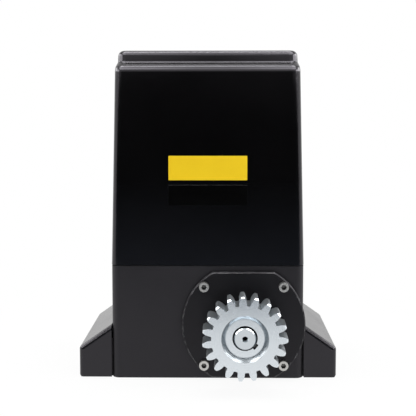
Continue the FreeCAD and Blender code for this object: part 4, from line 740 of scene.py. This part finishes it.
# %% Rubber and electric parts
finish("seal_rubber", dark=(0.008, 0.008, 0.008), light=(0.02, 0.02, 0.02), rough=(0.6, 0.78),
       gloss=0.3, grains=1600.0, patches=40.0, bump=0.2, depth=0.00005)
finish("board_laminate", dark=(0.005, 0.045, 0.018), light=(0.012, 0.09, 0.035), rough=(0.22, 0.36),
       grains=500.0, patches=60.0, bump=0.06, depth=0.00003, worn=(0.2, 0.22, 0.1), wear=0.5)
finish("terminal_green", dark=(0.012, 0.11, 0.03), light=(0.03, 0.2, 0.06), rough=(0.36, 0.5),
       grains=1800.0, patches=60.0, bump=0.1, worn=(0.1, 0.34, 0.14), wear=0.5)
finish("relay_blue", dark=(0.012, 0.04, 0.17), light=(0.025, 0.075, 0.28), rough=(0.22, 0.36),
       grains=1500.0, patches=60.0, bump=0.06, worn=(0.1, 0.2, 0.45), wear=0.5)
finish("component_black", dark=(0.01, 0.01, 0.01), light=(0.025, 0.025, 0.026), rough=(0.42, 0.58),
       grains=2200.0, patches=80.0, bump=0.12, worn=(0.06, 0.06, 0.06), wear=0.5)
finish("capacitor_white", dark=(0.66, 0.66, 0.63), light=(0.78, 0.78, 0.76), rough=(0.26, 0.4),
       grains=1200.0, patches=40.0, bump=0.05, worn=(0.5, 0.5, 0.47), wear=0.4)

# %% [markdown]
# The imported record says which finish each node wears, so the finishes are handed out from it. A slot
# that has no finish stops the loop at its name, so no node can keep a plain colour unnoticed.

# %% Hand out the finishes
for row in frame["record"]["subparts"]:
    mesh = nodes[row["node"]].data
    mesh.materials.clear()
    mesh.materials.append(FINISHES[row["material_slot"]])

# %% [markdown]
# Two thin plates are stuck to the cover's front, a yellow one and a dark one under it. Both are left
# bare. Each is cut as a rectangle with small round corners, and a softened rim draws its face in, so
# the edge catches light as the edge of a real plate does. Three loops of points, one above the other,
# are joined into its sides and closed at both ends.

# %% A thin plate with round corners
PLATE_THICK = 0.00025
RIM = 0.0001
CORNER_STEPS = 6
CORNER_SIGNS = ((1, 1), (-1, 1), (-1, -1), (1, -1))
QUARTER_TURN = math.pi / 2


def corner_points(width, height, corner):
    points = []
    for turn, (side, level) in enumerate(CORNER_SIGNS):
        for step in range(CORNER_STEPS + 1):
            angle = QUARTER_TURN * (turn + step / CORNER_STEPS)
            points.append((side * (width / 2 - corner) + corner * math.cos(angle),
                           level * (height / 2 - corner) + corner * math.sin(angle)))
    return points


def thin_plate(name, width, height, corner):
    work = bmesh.new()
    loops = []
    for inset, out in ((0.0, 0.0), (0.0, PLATE_THICK - RIM), (RIM, PLATE_THICK)):
        outline = corner_points(width - 2 * inset, height - 2 * inset, corner - inset)
        loops.append([work.verts.new((x, -out, z)) for x, z in outline])
    count = len(loops[0])
    for lower, upper in zip(loops, loops[1:]):
        for k in range(count):
            after = (k + 1) % count
            work.faces.new((lower[k], lower[after], upper[after], upper[k]))
    work.faces.new(loops[-1])
    work.faces.new(loops[0][::-1])
    bmesh.ops.recalc_face_normals(work, faces=work.faces)
    mesh = bpy.data.meshes.new(name)
    work.to_mesh(mesh)
    work.free()
    plate = bpy.data.objects.new(name, mesh)
    scene.collection.objects.link(plate)
    return plate


print("plates are", PLATE_THICK * 1000, "mm thick")

# %% [markdown]
# The cover's front is drafted, which means that it leans back a little so that the moulding can leave
# its tool. A plate leans back by the same angle and lies along the wall, with only a film of glue
# between them. It rides on the housing, as the cover does.

# %% Lay a plate on the cover
GLUE_FILM = 0.00003
COVER_RISE = 0.2012
COVER_LEAN = 0.0044

cover_low, cover_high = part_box("top_cover")


def lay_on_front(plate, x, z):
    lean = math.atan2(COVER_LEAN, COVER_RISE)
    wall_y = cover_low.y + (z - cover_low.z) * COVER_LEAN / COVER_RISE
    leaned = Matrix.Rotation(-lean, 4, "X")
    plate.matrix_world = Matrix.Translation((x, wall_y - GLUE_FILM, z)) @ leaned
    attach(plate, "housing")


print("cover front foot at y", round(cover_low.y, 4))

# %% [markdown]
# The yellow plate is printed vinyl under a matt film, and the dark one is plain black film with a weak
# gloss. It mirrors less than the moulding round it, which is how a bare dark plate still reads as a
# plate.

# %% The two bare plates
PLATE_WIDTH = 0.0813
PLATE_X = 0.0004
PLATE_CORNER = 0.0006
YELLOW_HEIGHT = 0.0252
YELLOW_LEVEL = 0.22
DARK_HEIGHT = 0.0212
DARK_LEVEL = 0.1919
VINYL = {"grains": 1800.0, "patches": 40.0, "bump": 0.04, "depth": 0.00002,
         "wear": 0.4, "wear_width": 0.0003}

yellow_vinyl = finish("yellow_vinyl", dark=(0.83, 0.55, 0.002), light=(0.90, 0.62, 0.004),
                      rough=(0.4, 0.5), gloss=0.2, worn=(0.5, 0.33, 0.02), **VINYL)
dark_vinyl = finish("dark_vinyl", dark=(0.0012, 0.0012, 0.0012), light=(0.0024, 0.0024, 0.0026),
                    rough=(0.13, 0.19), gloss=0.12, worn=(0.02, 0.02, 0.02), **VINYL)
yellow_plate = thin_plate("yellow_plate", PLATE_WIDTH, YELLOW_HEIGHT, PLATE_CORNER)
lay_on_front(yellow_plate, PLATE_X, YELLOW_LEVEL)
yellow_plate.data.materials.append(yellow_vinyl)
dark_plate = thin_plate("dark_plate", PLATE_WIDTH, DARK_HEIGHT, PLATE_CORNER)
lay_on_front(dark_plate, PLATE_X, DARK_LEVEL)
dark_plate.data.materials.append(dark_vinyl)
print("plates:", yellow_plate.name, dark_plate.name)
